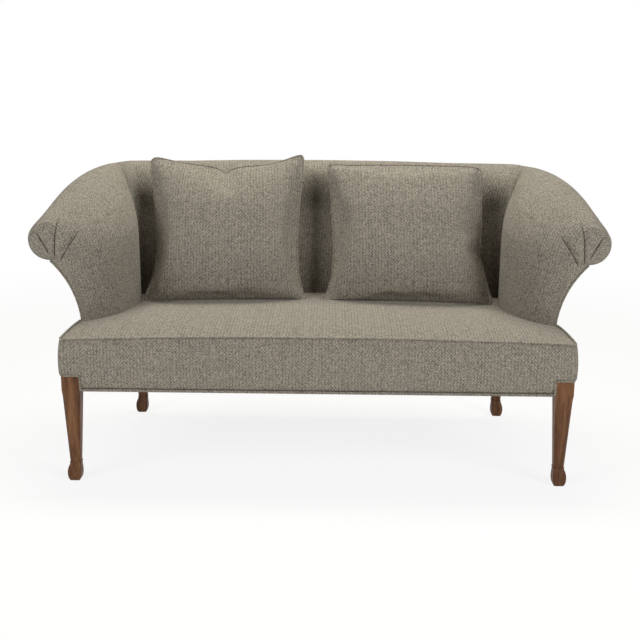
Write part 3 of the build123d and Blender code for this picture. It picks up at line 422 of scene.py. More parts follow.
def arm_slice(depth, hand=-1):
    reach = min(1.0, max(0.0, (depth - arm_front) / arm_nose))
    wrap = math.sqrt(1 - (1 - reach) ** 2)
    turn_from = arm_front + arm_nose
    turn = max(0.0, (depth - turn_from) / (crease_depth - turn_from))
    run = max(0.0, (depth - arm_front) / (crease_depth - arm_front))
    full = mix(front_roll_radius, roll_radius, run)
    blunt = 1 - min(1.0, (depth - arm_front) / blunt_length)
    level = mix(front_roll, back_roll, math.sin(math.pi / 2 * run ** climb[hand]))
    spread = roll_spread * max(0.0, 1 - run / spread_run) ** 2
    mid, top = [
        arm_flare * mix(mix(nose, side, wrap), at_crease, turn)
        for nose, side, at_crease in zip(nose_lean, side_lean, crease_lean)
    ]
    return dict(
        x=arm_line(depth), depth=depth, angle=crease_angle * turn**1.5,
        thick=mix(arm_thick * wrap, crease_thick, turn**2), mid=mid, top=top,
        out=mix(-1.0, 3.0, turn), roll_out=mix(arm_flare, crease_overhang, run**2.5) + spread,
        roll_level=level, roll_r=full * math.sqrt(1 - blunt_share * blunt**2),
        brow=level - full - arm_brow_gap,
    )


def back_slice(outer, inner, share, overhang, lift=0.0):
    run_x, run_depth = outer[0] - inner[0], outer[1] - inner[1]
    level = back_roll + back_crown * lift
    mid, top = [mix(arm_flare * a, back_thick * b, share) for a, b in zip(crease_lean, back_lean)]
    return dict(
        x=outer[0], depth=outer[1], angle=math.degrees(math.atan2(run_depth, run_x)),
        thick=math.hypot(run_x, run_depth), mid=mid, top=top,
        out=back_overhang * overhang * back_out_share, roll_out=back_overhang * overhang,
        roll_level=level, roll_r=roll_radius, brow=level - roll_radius - back_brow_gap,
    )


crease = arm_slice(crease_depth)
corner_x, corner_depth = arm_line(seat_depth) - corner_radius, seat_depth - corner_radius
corner_point = (
    corner_x + corner_radius * math.cos(math.radians(corner_turn)),
    corner_depth + corner_radius * math.sin(math.radians(corner_turn)),
)
straight_x, inside_depth = corner_x - 7 * corner_radius, seat_depth - back_thick
crease_inside = (
    crease["x"] - crease_thick * math.cos(math.radians(crease_angle)),
    crease["depth"] - crease_thick * math.sin(math.radians(crease_angle)),
)


def inside_back(share):
    return mix(crease_inside[0], straight_x, share), mix(inside_depth, crease_inside[1], (1 - share) ** 2)


def straight_back(share, lift):
    x = straight_x * share
    return back_slice((x, seat_depth), (x, inside_depth), 1.0, 1.0, lift)


half_back = [
    crease,
    back_slice((arm_line(corner_depth), corner_depth), inside_back(0.1), 0.25, 0.5),
    back_slice(corner_point, inside_back(0.22), 0.42, 0.52),
    back_slice((corner_x - corner_radius, seat_depth), inside_back(0.4), 0.62, 0.68),
    back_slice((corner_x - 3.5 * corner_radius, seat_depth), inside_back(0.66), 0.86, 0.88),
    straight_back(1.0, 0.0), straight_back(0.5, 0.75), straight_back(0.0, 1.0),
]
print("crease at", [round(v, 1) for v in crease_inside], "roll rises", back_roll - front_roll, "mm")

# %% [markdown]
# A slice turns into points: an arc up the inside face, an arc over the shoulder, round the roll, and back
# down the outside. Sampling the same number of points on every slice lets neighbouring slices be joined
# into a grid of four-sided faces, which is the simplest mesh that shades smoothly.

# %% From slice to points
face_count, shoulder_count, crest_count = 20, 24, 20
base_count, flare_count, tuck_count = 10, 16, 3
under_count = face_count + shoulder_count + crest_count - base_count - flare_count - tuck_count
crest_turn, seam_turn, under_turn = 100, 50, -80
haunch_across, haunch_up = 0.32, 0.7
flare_reach, flare_drop, flare_across, flare_up = 0.97, 160.0, 0.27, 0.485


def arc_points(a, b, c, count):
    """Points on the circle through a, b and c, from a to c, the last one left out."""
    (ax, ay), (bx, by), (cx, cy) = a, b, c
    cross = 2 * (ax * (by - cy) + bx * (cy - ay) + cx * (ay - by))
    if abs(cross) < 1e-6 * max(1.0, math.hypot(cx - ax, cy - ay)):
        return [(mix(ax, cx, i / count), mix(ay, cy, i / count)) for i in range(count)]
    a2, b2, c2 = ax * ax + ay * ay, bx * bx + by * by, cx * cx + cy * cy
    ox = (a2 * (by - cy) + b2 * (cy - ay) + c2 * (ay - by)) / cross
    oy = (a2 * (cx - bx) + b2 * (ax - cx) + c2 * (bx - ax)) / cross
    start, middle, end = (math.atan2(py - oy, px - ox) for px, py in (a, b, c))
    sweep = (end - start) % (2 * math.pi)
    if (middle - start) % (2 * math.pi) > sweep:
        sweep -= 2 * math.pi
    r = math.hypot(ax - ox, ay - oy)
    turns = [start + sweep * i / count for i in range(count)]
    return [(ox + r * math.cos(turn), oy + r * math.sin(turn)) for turn in turns]


def on_roll(cut, turn):
    turn = math.radians(turn)
    out, up = cut["roll_r"] * math.cos(turn), cut["roll_r"] * math.sin(turn)
    return cut["roll_out"] + out, cut["roll_level"] + up


def round_roll(cut, start, end, count):
    return [on_roll(cut, mix(start, end, i / count)) for i in range(count)] + [on_roll(cut, end)]


def straight(a, b, count):
    return [(mix(a[0], b[0], i / count), mix(a[1], b[1], i / count)) for i in range(count)]


def ease(line, rounds, held):
    """Softens a line of points, leaving this many at each end as they are."""
    line = line.copy()
    first, last = 1 + held[0], len(line) - 1 - held[1]
    for _ in range(rounds):
        beside = line[first - 1:last - 1] + line[first + 1:last + 1]
        line[first:last] = 0.5 * line[first:last] + 0.25 * beside
    return line


def inside_points(cut):
    """From the foot of the inside face, up and over to the high side of the roll."""
    shoulder = cut["roll_level"] - shoulder_drop
    foot = (-cut["thick"], pad_bottom)
    middle = (-cut["thick"] + cut["mid"], mix(pad_bottom, shoulder, 0.5))
    top = (-cut["thick"] + cut["top"], shoulder)
    crest = on_roll(cut, crest_turn)
    haunch = (mix(top[0], crest[0], haunch_across), mix(top[1], crest[1], haunch_up))
    line = arc_points(foot, middle, top, face_count) + arc_points(top, haunch, crest, shoulder_count)
    line += round_roll(cut, crest_turn, seam_turn, crest_count)
    return ease(np.array(line), 6, (0, crest_count // 2))


def outside_points(cut, inset=0.0):
    """From the foot of the outside face, up the flare, under the roll and round it to the same point."""
    high = (flare_reach * cut["roll_out"] - 0.75 * inset, cut["brow"] + 0.6 * inset)
    low = (cut["out"] - inset, cut["brow"] - flare_drop)
    bend = (mix(low[0], high[0], flare_across), mix(low[1], high[1], flare_up))
    line = straight((-inset, pad_bottom), low, base_count)
    line += arc_points(low, bend, high, flare_count)
    line += straight(high, on_roll(cut, under_turn), tuck_count)
    line += round_roll(cut, under_turn, seam_turn, under_count)
    return np.array(line)


def place_slice(cut, line, hand=1):
    """Points of a slice (out, level) set upright in the frame, in metres."""
    angle = math.radians(cut["angle"])
    x = (cut["x"] + line[:, 0] * math.cos(angle)) * hand
    depth = cut["depth"] + line[:, 0] * math.sin(angle)
    return np.column_stack([x, depth - depth_all / 2, line[:, 1]]) / 1000.0


print("points on a slice:", len(inside_points(crease)), "inside,", len(outside_points(crease)), "outside")

# %% [markdown]
# ### From points to a piece
# Each cover piece is a mesh with a map of flat cloth coordinates, which the tweed reads. The helper makes
# the mesh, turns its faces outwards, sets the body it moves with and hides the constructed parts that it
# stands for. Two more helpers measure lengths along a grid of points and join the grid into faces.


# %% Making a mesh piece
def new_piece(name, points, faces, cloth, finish, body, replaced=(), slot="tweed"):
    """A mesh from points and faces; cloth gives each face's flat coordinates, in metres."""
    mesh = bpy.data.meshes.new(name)
    mesh.from_pydata([tuple(p) for p in points], [], faces)
    layer = mesh.uv_layers.new(name="weave")
    layer.data.foreach_set("uv", np.array([uv for face in cloth for uv in face], dtype=np.float32).ravel())
    work = bmesh.new()
    work.from_mesh(mesh)
    bmesh.ops.recalc_face_normals(work, faces=work.faces)
    work.to_mesh(mesh)
    work.free()
    mesh.shade_smooth()
    mesh.materials.append(finish)
    piece = stand(name, mesh)
    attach(piece, body)
    if replaced:
        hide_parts(*replaced)
    print(name, len(points), "points", len(faces), "faces")
    return piece


def run_lengths(rows, axis):
    """Length along the grid, counted from its first row or column."""
    step = np.linalg.norm(np.diff(rows, axis=axis), axis=2)
    start = np.zeros_like(np.take(step, [0], axis=axis))
    return np.concatenate([start, np.cumsum(step, axis=axis)], axis=axis)


def grid_faces(count, width, closed=False):
    across = width if closed else width - 1
    return [
        (i * width + j, i * width + (j + 1) % width, (i + 1) * width + (j + 1) % width, (i + 1) * width + j)
        for i in range(count - 1) for j in range(across)
    ]


def wrapped_cloth(rows, faces):
    """Flat coordinates for a grid that closes on itself: the last strip runs on past the others."""
    width, last_strip = rows.shape[1], 0.1
    flat = np.dstack([run_lengths(rows, 0), run_lengths(rows, 1)]).reshape(-1, 2)
    cloth = []
    for face in faces:
        uv = [list(flat[v]) for v in face]
        if face[1] % width == 0:
            uv[1][1] = uv[2][1] = flat[face[0]][1] + last_strip
        cloth.append([tuple(c) for c in uv])
    return cloth


print("mesh helpers ready")

# %% [markdown]
# ## The arms
# An arm is a stuffed form: its front is a quarter of an ellipse in plan, the top is a fat roll that leans
# out at the front, and the roll climbs and closes in towards the back. Slices are set close together where
# the front turns. The very front is closed with a cap, a grid between the inside line and the outside line
# of the first slice. The cap is domed on the roll and nearly flat below it.

# %% Arm form
nose_angles, side_slices, cap_columns = np.linspace(13, 90, 24), 22, 34
arm_depths = [arm_front + arm_nose * (1 - math.cos(math.radians(a))) for a in nose_angles]
arm_depths += [mix(arm_depths[-1], crease_depth, i / side_slices) for i in range(1, side_slices + 1)]
arm_cuts = {hand: [arm_slice(depth, hand) for depth in arm_depths] for hand in (-1, 1)}
form_inset = 3.0
dome_from, dome_blend, dome_rise, dome_share, edge_rise = 0.575, 0.06, 0.013, 0.2, 0.0052


def slice_ring(cut, hand):
    """Both lines of a slice as one closed ring."""
    return place_slice(cut, np.vstack([inside_points(cut), outside_points(cut, form_inset)[-2::-1]]), hand)


def cap_rise(across, reach, level):
    """How far the front stands ahead of its first slice, a share of the way across it."""
    on_roll_front = min(1.0, max(0.0, (level - dome_from) / dome_blend))
    on_roll_front = on_roll_front * on_roll_front * (3 - 2 * on_roll_front)
    edge = (1 - (1 - across) ** 2) * (1 - across**8) * edge_rise
    dome = math.sqrt(max(0.0, 4 * across * (1 - across))) ** 0.9 * min(dome_rise, dome_share * reach)
    return mix(edge, dome, on_roll_front)


def arm_form(hand):
    rows = np.array([slice_ring(cut, hand) for cut in arm_cuts[hand]])
    count, width = rows.shape[:2]
    half = (width + 1) // 2
    points = [p for row in rows for p in row]
    faces = grid_faces(count, width, True)
    cloth = wrapped_cloth(rows, faces)
    first, first_up = rows[0], run_lengths(rows, 1)[0]
    grid, grid_cloth = [], []
    for k in range(half):
        a, b = first[k], first[width - 1 - k] if k < half - 1 else first[half - 1]
        reach = float(np.linalg.norm(b - a))
        ids, uvs = [], []
        for c in range(cap_columns + 1):
            across = c / cap_columns
            if k == half - 1:
                ids.append(half - 1)
            elif c == 0:
                ids.append(k)
            elif c == cap_columns:
                ids.append(width - 1 - k)
            else:
                ids.append(len(points))
                points.append(a + (b - a) * across + np.array([0, -cap_rise(across, reach, a[2]), 0]))
            uvs.append((-reach * across, float(first_up[k])))
        grid.append(ids)
        grid_cloth.append(uvs)
    for k in range(half - 1):
        for c in range(cap_columns):
            spots = [(k, c), (k, c + 1), (k + 1, c + 1), (k + 1, c)]
            if k == half - 2:
                spots = spots[:3]
            faces.append(tuple(grid[p][q] for p, q in spots))
            cloth.append([grid_cloth[p][q] for p, q in spots])
    faces.append(tuple((count - 1) * width + j for j in range(width)))
    cloth.append([(0.0, 0.0)] * width)
    return np.array(points), faces, cloth


arm_forms = {hand: arm_form(hand) for hand in (-1, 1)}
print("arm form:", len(arm_forms[1][0]), "points")

# %% [markdown]
# ### The pleats
# Where the cover is gathered over the front of the roll, three pleats fan out from the notch under it.
# A pleat is a fold: the cloth drops into a narrow valley, one lip stands a little proud, and the cloth
# swells between one pleat and the next. Faces near the lines are cut smaller first, so that the valley
# can be sharp, and then the points are moved along the depth.

# %% Pleats
pleat_lines = [
    [(743, 607), (761, 641), (778, 672)],
    [(728, 594), (725, 655), (716, 708)],
    [(712, 588), (688, 630), (661, 669)],
]
pleat_behind, pleat_low = -0.165, 0.56
cut_reaches = (0.012, 0.008, 0.005)
swell_depth, swell_reach = 0.0030, 0.010
groove_depth, groove_reach = 0.0062, 0.0016
lip_height, lip_reach = 0.0022, 0.0045


def near_pleat(x, z, line):
    """Gap to a pleat line in metres, which side of it, and the share of the way along it."""
    best, passed = (9.0, 0.0, 0.0), 0.0
    lengths = [math.dist(a, b) for a, b in zip(line, line[1:])]
    for (ax, az), (bx, bz), length in zip(line, line[1:], lengths):
        along = ((x - ax) * (bx - ax) + (z - az) * (bz - az)) / length**2
        along = min(1.0, max(0.0, along))
        gap_x, gap_z = x - mix(ax, bx, along), z - mix(az, bz, along)
        gap = math.hypot(gap_x, gap_z)
        if gap < best[0]:
            side = (bx - ax) * gap_z - (bz - az) * gap_x
            best = (gap, side, (passed + along * length) / sum(lengths))
        passed += length
    return best


def fold_pleats(piece, hand):
    lines = [[(x / 1000, z / 1000) for x, z in line] for line in pleat_lines]
    work = bmesh.new()
    work.from_mesh(piece.data)
    for reach in cut_reaches:
        edges = {}
        for face in work.faces:
            spot = face.calc_center_median()
            if spot.y >= pleat_behind:
                continue
            if min(near_pleat(spot.x * hand, spot.z, line)[0] for line in lines) < reach:
                edges.update(dict.fromkeys(face.edges))
        bmesh.ops.subdivide_edges(work, edges=list(edges), cuts=1, use_grid_fill=True)
    for point in work.verts:
        if point.co.y > pleat_behind or point.co.z < pleat_low:
            continue
        swell = groove = lip = 0.0
        for line in lines:
            gap, side, share = near_pleat(point.co.x * hand, point.co.z, line)
            fade = min(1.0, (1 - share) * 3.5) * min(1.0, 0.5 + share * 6)
            swell = max(swell, fade * math.exp(-((gap / swell_reach) ** 2)))
            groove = max(groove, fade * math.exp(-((gap / groove_reach) ** 2)))
            if side > 0:
                lip = max(lip, fade * math.exp(-gap / lip_reach))
        point.co.y += swell_depth * swell + groove_depth * groove - lip_height * lip
    work.to_mesh(piece.data)
    work.free()
    piece.data.shade_smooth()


for side, hand in (("left", -1), ("right", 1)):
    replaced = (f"{side}_arm_pad", f"{side}_arm_cover")
    arm = new_piece(f"{side}_stuffed_arm", *arm_forms[hand], tweed, "sofa", replaced)
    fold_pleats(arm, hand)
print("pleats folded:", len(pleat_lines), "on each arm")

# %% [markdown]
# ## The back
# The back carries the same roll across from arm to arm. Its slices turn through the two corners and then
# run straight, with a slight rise in the middle. The values between the measured slices are eased with a
# curve that never overshoots, so the corners stay round.

# %% Back form
slices_between = 9


def eased_between(values, count):
    """Smooth values between the given ones, with no overshoot."""
    values = np.array(values, float)
    rise = np.diff(values)
    slope = np.zeros(len(values))
    for i in range(1, len(values) - 1):
        if rise[i - 1] * rise[i] > 0:
            slope[i] = 2 * rise[i - 1] * rise[i] / (rise[i - 1] + rise[i])
    slope[0], slope[-1] = rise[0], rise[-1]
    out = []
    for i in range(len(values) - 1):
        for step in range(count):
            t = step / count
            h00, h10, h11 = 2 * t**3 - 3 * t**2 + 1, t**3 - 2 * t**2 + t, t**3 - t**2
            out.append(h00 * values[i] + h10 * slope[i] + (1 - h00) * values[i + 1] + h11 * slope[i + 1])
    return out + [values[-1]]


back_values = {key: eased_between([cut[key] for cut in half_back], slices_between) for key in slice_keys}
right_cuts = [{key: back_values[key][i] for key in slice_keys} for i in range(len(back_values["x"]))]
back_cuts = [(cut, 1) for cut in right_cuts] + [(cut, -1) for cut in right_cuts[-2::-1]]
back_rows = np.array([slice_ring(cut, hand) for cut, hand in back_cuts])
back_spots, (back_count, back_width) = back_rows.reshape(-1, 3), back_rows.shape[:2]
back_faces = grid_faces(back_count, back_width, True)
back_cloth = wrapped_cloth(back_rows, back_faces)
for end in (0, back_count - 1):
    back_faces.append(tuple(end * back_width + j for j in range(back_width)))
    back_cloth.append([(0.0, 0.0)] * back_width)
back = new_piece(
    "stuffed_back", back_spots, back_faces, back_cloth, tweed, "sofa", ("back_pad", "back_cover")
)

# %% [markdown]
# ## The seat
# The seat is a tight crowned pad: it rises from the welt at the front edge, is highest about half way back,
# and falls a little at the sides. It is a grid over the plan of the seat, with a skirt down to the rails.

# %% Seat
seat_edge, seat_back, seat_rows, seat_columns = 6.3, 582, 70, 120
corner_bend, skirt_level, skirt_cloth = 13.0, 0.376, 0.03
crown_depths = [6, 30, 60, 115, 200, 300, 440, 582]
crown_levels = [413, 420.5, 426, 431.5, 434.2, 435, 432, 427]
side_front, side_rise, side_run, crown_power = 399.5, 16.0, 175, 2.2


def side_level(depth):
    """Height of the seat's side edge: low at the front corner, rising to the arm."""
    return side_front + side_rise * (1 - (1 - min(1.0, depth / side_run)) ** crown_power)


def seat_level(x, depth):
    """Height of the seat's surface at a place in plan."""
    centre = np.interp(depth, crown_depths, crown_levels)
    share = min(1.0, abs(x) / (side_line(depth) - seat_edge))
    return centre - (centre - side_level(depth)) * share**crown_power


def seat_reach(depth, inset):
    """Half width at a depth, this far inside the seat's outline, whose front corners are round."""
    bend = corner_bend - inset
    ahead = max(0.0, corner_bend - depth)
    return side_line(depth) - corner_bend + math.sqrt(max(0.0, bend**2 - ahead**2))


across = np.linspace(-1, 1, seat_columns)
across = 0.5 * np.sin(across * math.pi / 2) + 0.5 * across
seat_grid = []
for depth in seat_edge + (seat_back - seat_edge) * np.linspace(0, 1, seat_rows) ** 1.35:
    half = seat_reach(depth, seat_edge)
    seat_grid.append([(half * a, depth - depth_all / 2, seat_level(half * a, depth)) for a in across])
seat_grid = np.array(seat_grid) / 1000.0
seat_flat = np.dstack([seat_grid[:, :, 0], run_lengths(seat_grid, 0)]).reshape(-1, 2)
seat_points = list(seat_grid.reshape(-1, 3))
seat_faces = grid_faces(seat_rows, seat_columns)
seat_cloth = [[tuple(seat_flat[v]) for v in face] for face in seat_faces]
rim = list(range(seat_columns))
rim += [i * seat_columns + seat_columns - 1 for i in range(1, seat_rows)]
rim += [(seat_rows - 1) * seat_columns + j for j in range(seat_columns - 2, -1, -1)]
rim += [i * seat_columns for i in range(seat_rows - 2, 0, -1)]
skirt = {v: len(seat_points) + n for n, v in enumerate(rim)}
seat_points += [np.array([*seat_points[v][:2], skirt_level]) for v in rim]
for a, b in zip(rim, rim[1:] + rim[:1]):
    seat_faces.append((a, b, skirt[b], skirt[a]))
    low_a, low_b = seat_flat[a] - skirt_cloth, seat_flat[b] - skirt_cloth
    seat_cloth.append([tuple(spot) for spot in (seat_flat[a], seat_flat[b], low_b, low_a)])
seat_faces.append(tuple(skirt[v] for v in rim))
seat_cloth.append([(0.0, 0.0)] * len(rim))
seat = new_piece(
    "stuffed_seat", seat_points, seat_faces, seat_cloth, tweed, "sofa", ("seat_pad", "seat_cover")
)

# %% [markdown]
# ## The border
# The band under the seat is a lightly padded strip that goes round both front corners and steps up over the
# legs. It is one layer of faces with its thickness added by a modifier, and the steps are simply faces left
# out. Its two ends turn in and tuck behind the outside arms, so that no gap shows at that seam.

# %% Border
border_low, border_step, border_depth = 266.0, 306.3, 162.6
leg_inner, leg_back, leg_seam = 638.0, 50.0, 6.3
border_swell, border_inset, corner_ease = 7.5, 4.0, 0.1
step_rows, top_rows = 7, 13
step_x, step_depth = leg_inner - leg_seam, leg_back + leg_seam
fold_in, tuck_in = 1.5, 1.0
fold_turn, fold_end, tuck_end = 2.5, 6.0, 20.0


def border_route():
    """Plan line of the border from the left arm to the right one."""
    half = [(x, 0.0) for x in np.linspace(0, step_x, 60)]
    half += [(x, 0.0) for x in np.linspace(step_x, seat_half - corner_bend, 8)[1:]]
    for turn in np.linspace(0, math.pi / 2, 7)[1:]:
        x = seat_half - corner_bend * (1 - math.sin(turn)) - corner_ease * turn / (math.pi / 2)
        half.append((x, corner_bend * (1 - math.cos(turn))))
    for start, end, count in ((corner_bend, step_depth, 6), (step_depth, border_depth, 12)):
        half += [(side_line(depth), depth) for depth in np.linspace(start, end, count)[1:]]
    half += [
        (side_line(border_depth) - fold_in, border_depth + fold_turn),
        (arm_line(border_depth) - tuck_in, border_depth + fold_end),
        (arm_line(border_depth + tuck_end) - tuck_in, border_depth + tuck_end),
    ]
    return [(-x, d) for x, d in half[:0:-1]] + half


def border_way(x, depth):
    """Which way the border faces in plan."""
    if depth <= 0.01:
        return 0.0, -1.0
    if depth >= corner_bend:
        return math.copysign(1.0, x), 0.0
    turn = math.acos(1 - depth / corner_bend)
    return math.copysign(math.sin(turn), x), -math.cos(turn)


route = border_route()
low_levels = np.linspace(0, 1, step_rows) * (border_step - border_low) + border_low
border_rows, border_flat = [], []
passed = 0.0
for index, (x, depth) in enumerate(route):
    if index:
        passed += math.dist((x, depth), route[index - 1])
    top = seat_level(x, max(depth, seat_edge)) if depth <= corner_bend else side_level(depth)
    swell = border_swell if depth <= border_depth else 0.0
    out_x, out_depth = border_way(x, depth)
    row, flat = [], []
    for z in np.concatenate([low_levels, np.linspace(border_step, top, top_rows)[1:]]):
        share = min(1.0, max(0.0, (z - border_low) / (top - border_low)))
        out = swell * math.sin(math.pi * share) ** 0.7 - border_inset
        row.append((x + out_x * out, depth + out_depth * out - depth_all / 2, z))
        flat.append((passed / 1000, z / 1000))
    border_rows.append(row)
    border_flat.append(flat)
border_rows = np.array(border_rows) / 1000.0
border_flat = np.array(border_flat).reshape(-1, 2)
border_spots, border_width = border_rows.reshape(-1, 3), border_rows.shape[1]
border_faces, border_cloth = [], []
for face in grid_faces(len(route), border_width):
    middle = np.mean([border_spots[v] for v in face], axis=0) * 1000
    by_leg = abs(middle[0]) > step_x and middle[1] + depth_all / 2 < step_depth
    if by_leg and face[0] % border_width < step_rows - 1:
        continue
    border_faces.append(face)
    border_cloth.append([tuple(border_flat[v]) for v in face])


def thicken(piece, thickness):
    """Drops loose points and gives the cloth its thickness, inwards."""
    work = bmesh.new()
    work.from_mesh(piece.data)
    bmesh.ops.delete(work, geom=[v for v in work.verts if not v.link_faces], context="VERTS")
    work.to_mesh(piece.data)
    work.free()
    shell = piece.modifiers.new("thickness", "SOLIDIFY")
    shell.thickness, shell.offset = thickness, -1.0


border = new_piece("seat_border", border_spots, border_faces, border_cloth, tweed, "sofa", ("front_border",))
thicken(border, 0.004)

# %% [markdown]
# ## The outside panels
# The outside arms and the outside back are single cloths pulled flat over the frame, from the bottom edge up
# to the underside of the roll. They follow the outside lines of the slices. The outside back steps up over
# the rear legs, again by faces left out. The length along the lines is the cloth's flat size.

# %% Outside panels
panel_front, panel_slices, low_rows = 165.5, 36, 14
rear_leg_inner, rear_leg_front = 560.93, 585.0


def at(x, depth, level):
    """A place given in millimetres, set in the frame in metres."""
    return (x / 1000, (depth - depth_all / 2) / 1000, level / 1000)


def panel_points(cut):
    """From the bottom edge, up the outside and out under the roll."""
    line = outside_points(cut)[: base_count + flare_count + 1]
    low = [(0.0, z) for z in np.linspace(border_low, pad_bottom, low_rows)[:-1]]
    return np.vstack([low, line])


def panel_piece(name, cuts, replaced, notch=None):
    rows = np.array([place_slice(cut, panel_points(cut), hand) for cut, hand in cuts])
    flat = np.dstack([run_lengths(rows, 0), run_lengths(rows, 1)]).reshape(-1, 2)
    faces, cloth = [], []
    spots = rows.reshape(-1, 3)
    for face in grid_faces(*rows.shape[:2]):
        middle = np.mean([spots[v] for v in face], axis=0)
        if notch and abs(middle[0]) > notch[0] and middle[1] > notch[1] and middle[2] < notch[2]:
            continue
        faces.append(face)
        cloth.append([tuple(flat[v]) for v in face])
    piece = new_piece(name, spots, faces, cloth, tweed, "sofa", replaced)
    thicken(piece, 0.003)
    width, length = float(flat[:, 0].max()), float(flat[:, 1].max())
    print(f"{name}: {width:.3f} by {length:.3f} m flat")
    return piece, width, length


panel_depths = [mix(panel_front, crease_depth, i / panel_slices) for i in range(panel_slices + 1)]
for side, hand in (("left", -1), ("right", 1)):
    cuts = [(arm_slice(depth, hand), hand) for depth in panel_depths]
    panel, width, length = panel_piece(f"{side}_outside_arm", cuts, (f"outside_{side}_arm",))
rear_notch = at(rear_leg_inner - leg_seam, rear_leg_front - leg_seam, border_step)
panel, width, length = panel_piece("outside_back_cloth", back_cuts, ("outside_back",), rear_notch)

# %% [markdown]
# ## The welts
# A welt is a thin cord sewn into a strip of the cover cloth and caught in the seam. It runs along the front
# edge of the seat, round the bottom edge with a step over each leg, and up the outer front edge of each arm.
# Each is a tube swept along its line, and it keeps cloth coordinates, so the yarns wrap round it.

# %% Welt tubes
welt_sides, bias = 10, 0.7


def softened(points, bend, steps=5):
    """The same line with its corners rounded."""
    points = [np.array(p, float) for p in points]
    line = [points[0]]
    for before, here, after in zip(points, points[1:], points[2:]):
        back_step, on_step = before - here, after - here
        cut = min(bend, 0.45 * np.linalg.norm(back_step), 0.45 * np.linalg.norm(on_step))
        a = here + back_step / np.linalg.norm(back_step) * cut
        b = here + on_step / np.linalg.norm(on_step) * cut
        for i in range(steps + 1):
            t = i / steps
            line.append((1 - t) ** 2 * a + 2 * t * (1 - t) * here + t**2 * b)
    line.append(points[-1])
    return np.array(line)


def run_of(line):
    return np.concatenate([[0], np.cumsum(np.linalg.norm(np.diff(line, axis=0), axis=1))])


def spaced(line, gap):
    """Points at an even spacing along a line."""
    run = run_of(line)
    stops = np.linspace(0, run[-1], max(2, int(run[-1] / gap)) + 1)
    return np.column_stack([np.interp(stops, run, line[:, k]) for k in range(3)])


def welt(name, line, radius, body, replaced, closed=False):
    line, sides = np.array(line), welt_sides
    count = len(line)
    ahead = np.roll(line, -1, 0) - np.roll(line, 1, 0) if closed else np.gradient(line, axis=0)
    ahead /= np.linalg.norm(ahead, axis=1)[:, None]
    start = np.cross(ahead[0], [0.31, 0.52, 0.79])
    side = start / np.linalg.norm(start)
    turns = np.linspace(0, 2 * math.pi, sides, endpoint=False)
    rows = []
    for point, way in zip(line, ahead):
        side = side - way * np.dot(side, way)
        side /= np.linalg.norm(side)
        other = np.cross(way, side)
        rows.append([point + radius * (math.cos(t) * side + math.sin(t) * other) for t in turns])
    rows, run, strip = np.array(rows), run_of(line), 2 * math.pi * radius / sides
    faces, cloth = [], []
    for i in range(count if closed else count - 1):
        for j in range(sides):
            k, l = (i + 1) % count, (j + 1) % sides
            faces.append((i * sides + j, i * sides + l, k * sides + l, k * sides + j))
            u0, u1 = run[i], run[i] + float(np.linalg.norm(line[k] - line[i]))
            v0, v1 = j * strip, (j + 1) * strip
            cloth.append([(u, v + bias * u) for u, v in ((u0, v0), (u0, v1), (u1, v1), (u1, v0))])
    if not closed:
        for i in (0, count - 1):
            faces.append(tuple(i * sides + j for j in range(sides)))
            cloth.append([(0.0, 0.0)] * sides)
    return new_piece(name, rows.reshape(-1, 3), faces, cloth, tweed, body, replaced)


print("welts have", welt_sides, "sides")

# %% [markdown]
# The seat's welt rides on the seam between the seat and the border, so its height comes from the seat. The
# bottom welt is a little thicker and stands just proud of the border. On the arm a welt closes the edge
# between the front and the outside panel.

# %% Welt lines
welt_gap = 0.004
welt_radius, welt_inset, welt_rise = 2.5, 3.6, 1.4
base_radius, base_inset, base_seam, base_bend = 3.5, 1.6, 3.05, 0.0048
step_up, base_up = 303.05, 263.0
rear_inset, rear_bend, rear_seam = 3, 16.2, 3.03
rear_base = seat_depth - rear_inset
arm_welt_radius, arm_welt_inset, arm_welt_low = 0.0024, 2.0, 405.0


def corner_arc(inset):
    """Plan points round the front right corner, from the side to the front."""
    bend, centre = corner_bend - inset, side_line(corner_bend) - corner_bend
    turns = np.radians(np.linspace(90, 0, 9))
    return [(centre + bend * math.sin(turn), corner_bend - bend * math.cos(turn)) for turn in turns]


def welt_level(x, depth):
    return seat_level(x, max(depth, seat_edge)) + welt_rise


side_welt = [(side_line(d) - welt_inset, d) for d in np.linspace(160, corner_bend + 5, 14)]
front_welt = [(x, welt_inset) for x in np.linspace(seat_half - corner_bend - 5, 0, 40)]
half_line = [at(x, d, welt_level(x, d)) for x, d in side_welt + corner_arc(welt_inset) + front_welt]
seat_line = half_line + [(-x, y, z) for x, y, z in half_line[-2::-1]]
welt("front_edge_welt", spaced(np.array(seat_line), welt_gap), welt_radius / 1000, "sofa", ("seat_welt",))

front_step, side_step = leg_inner - base_seam, leg_back + base_seam
rear_side_step, rear_step = rear_leg_front - base_seam, rear_leg_inner - rear_seam
leg_x, rear_leg_x = side_line(53) - base_inset, arm_line(582) - base_inset
rear_corner_x = arm_line(623) - rear_inset
half_base = [
    (0, base_inset, base_up), (front_step, base_inset, base_up), (front_step, base_inset, step_up),
    *[(x, depth, step_up) for x, depth in corner_arc(base_inset)[::-1]],
    (leg_x, side_step, step_up), (leg_x, side_step, base_up),
    (side_line(142) - base_inset, border_depth - tuck_end, base_up),
    (arm_line(182) - base_inset, border_depth + tuck_end, base_up),
    (rear_leg_x, rear_side_step, base_up), (rear_leg_x, rear_side_step, step_up),
    (rear_corner_x, seat_depth - rear_bend, step_up), (arm_line(rear_base) - rear_bend, rear_base, step_up),
    (rear_step, rear_base, step_up), (rear_step, rear_base, base_up), (0.3, rear_base, base_up),
]
base_line = [at(*p) for p in half_base]
base_loop = [(-p[0], p[1], p[2]) for p in base_line[:0:-1]] + base_line
base_line = spaced(softened(base_loop, base_bend), welt_gap)
welt("bottom_edge_welt", base_line, base_radius / 1000, "sofa", ("base_welt",))

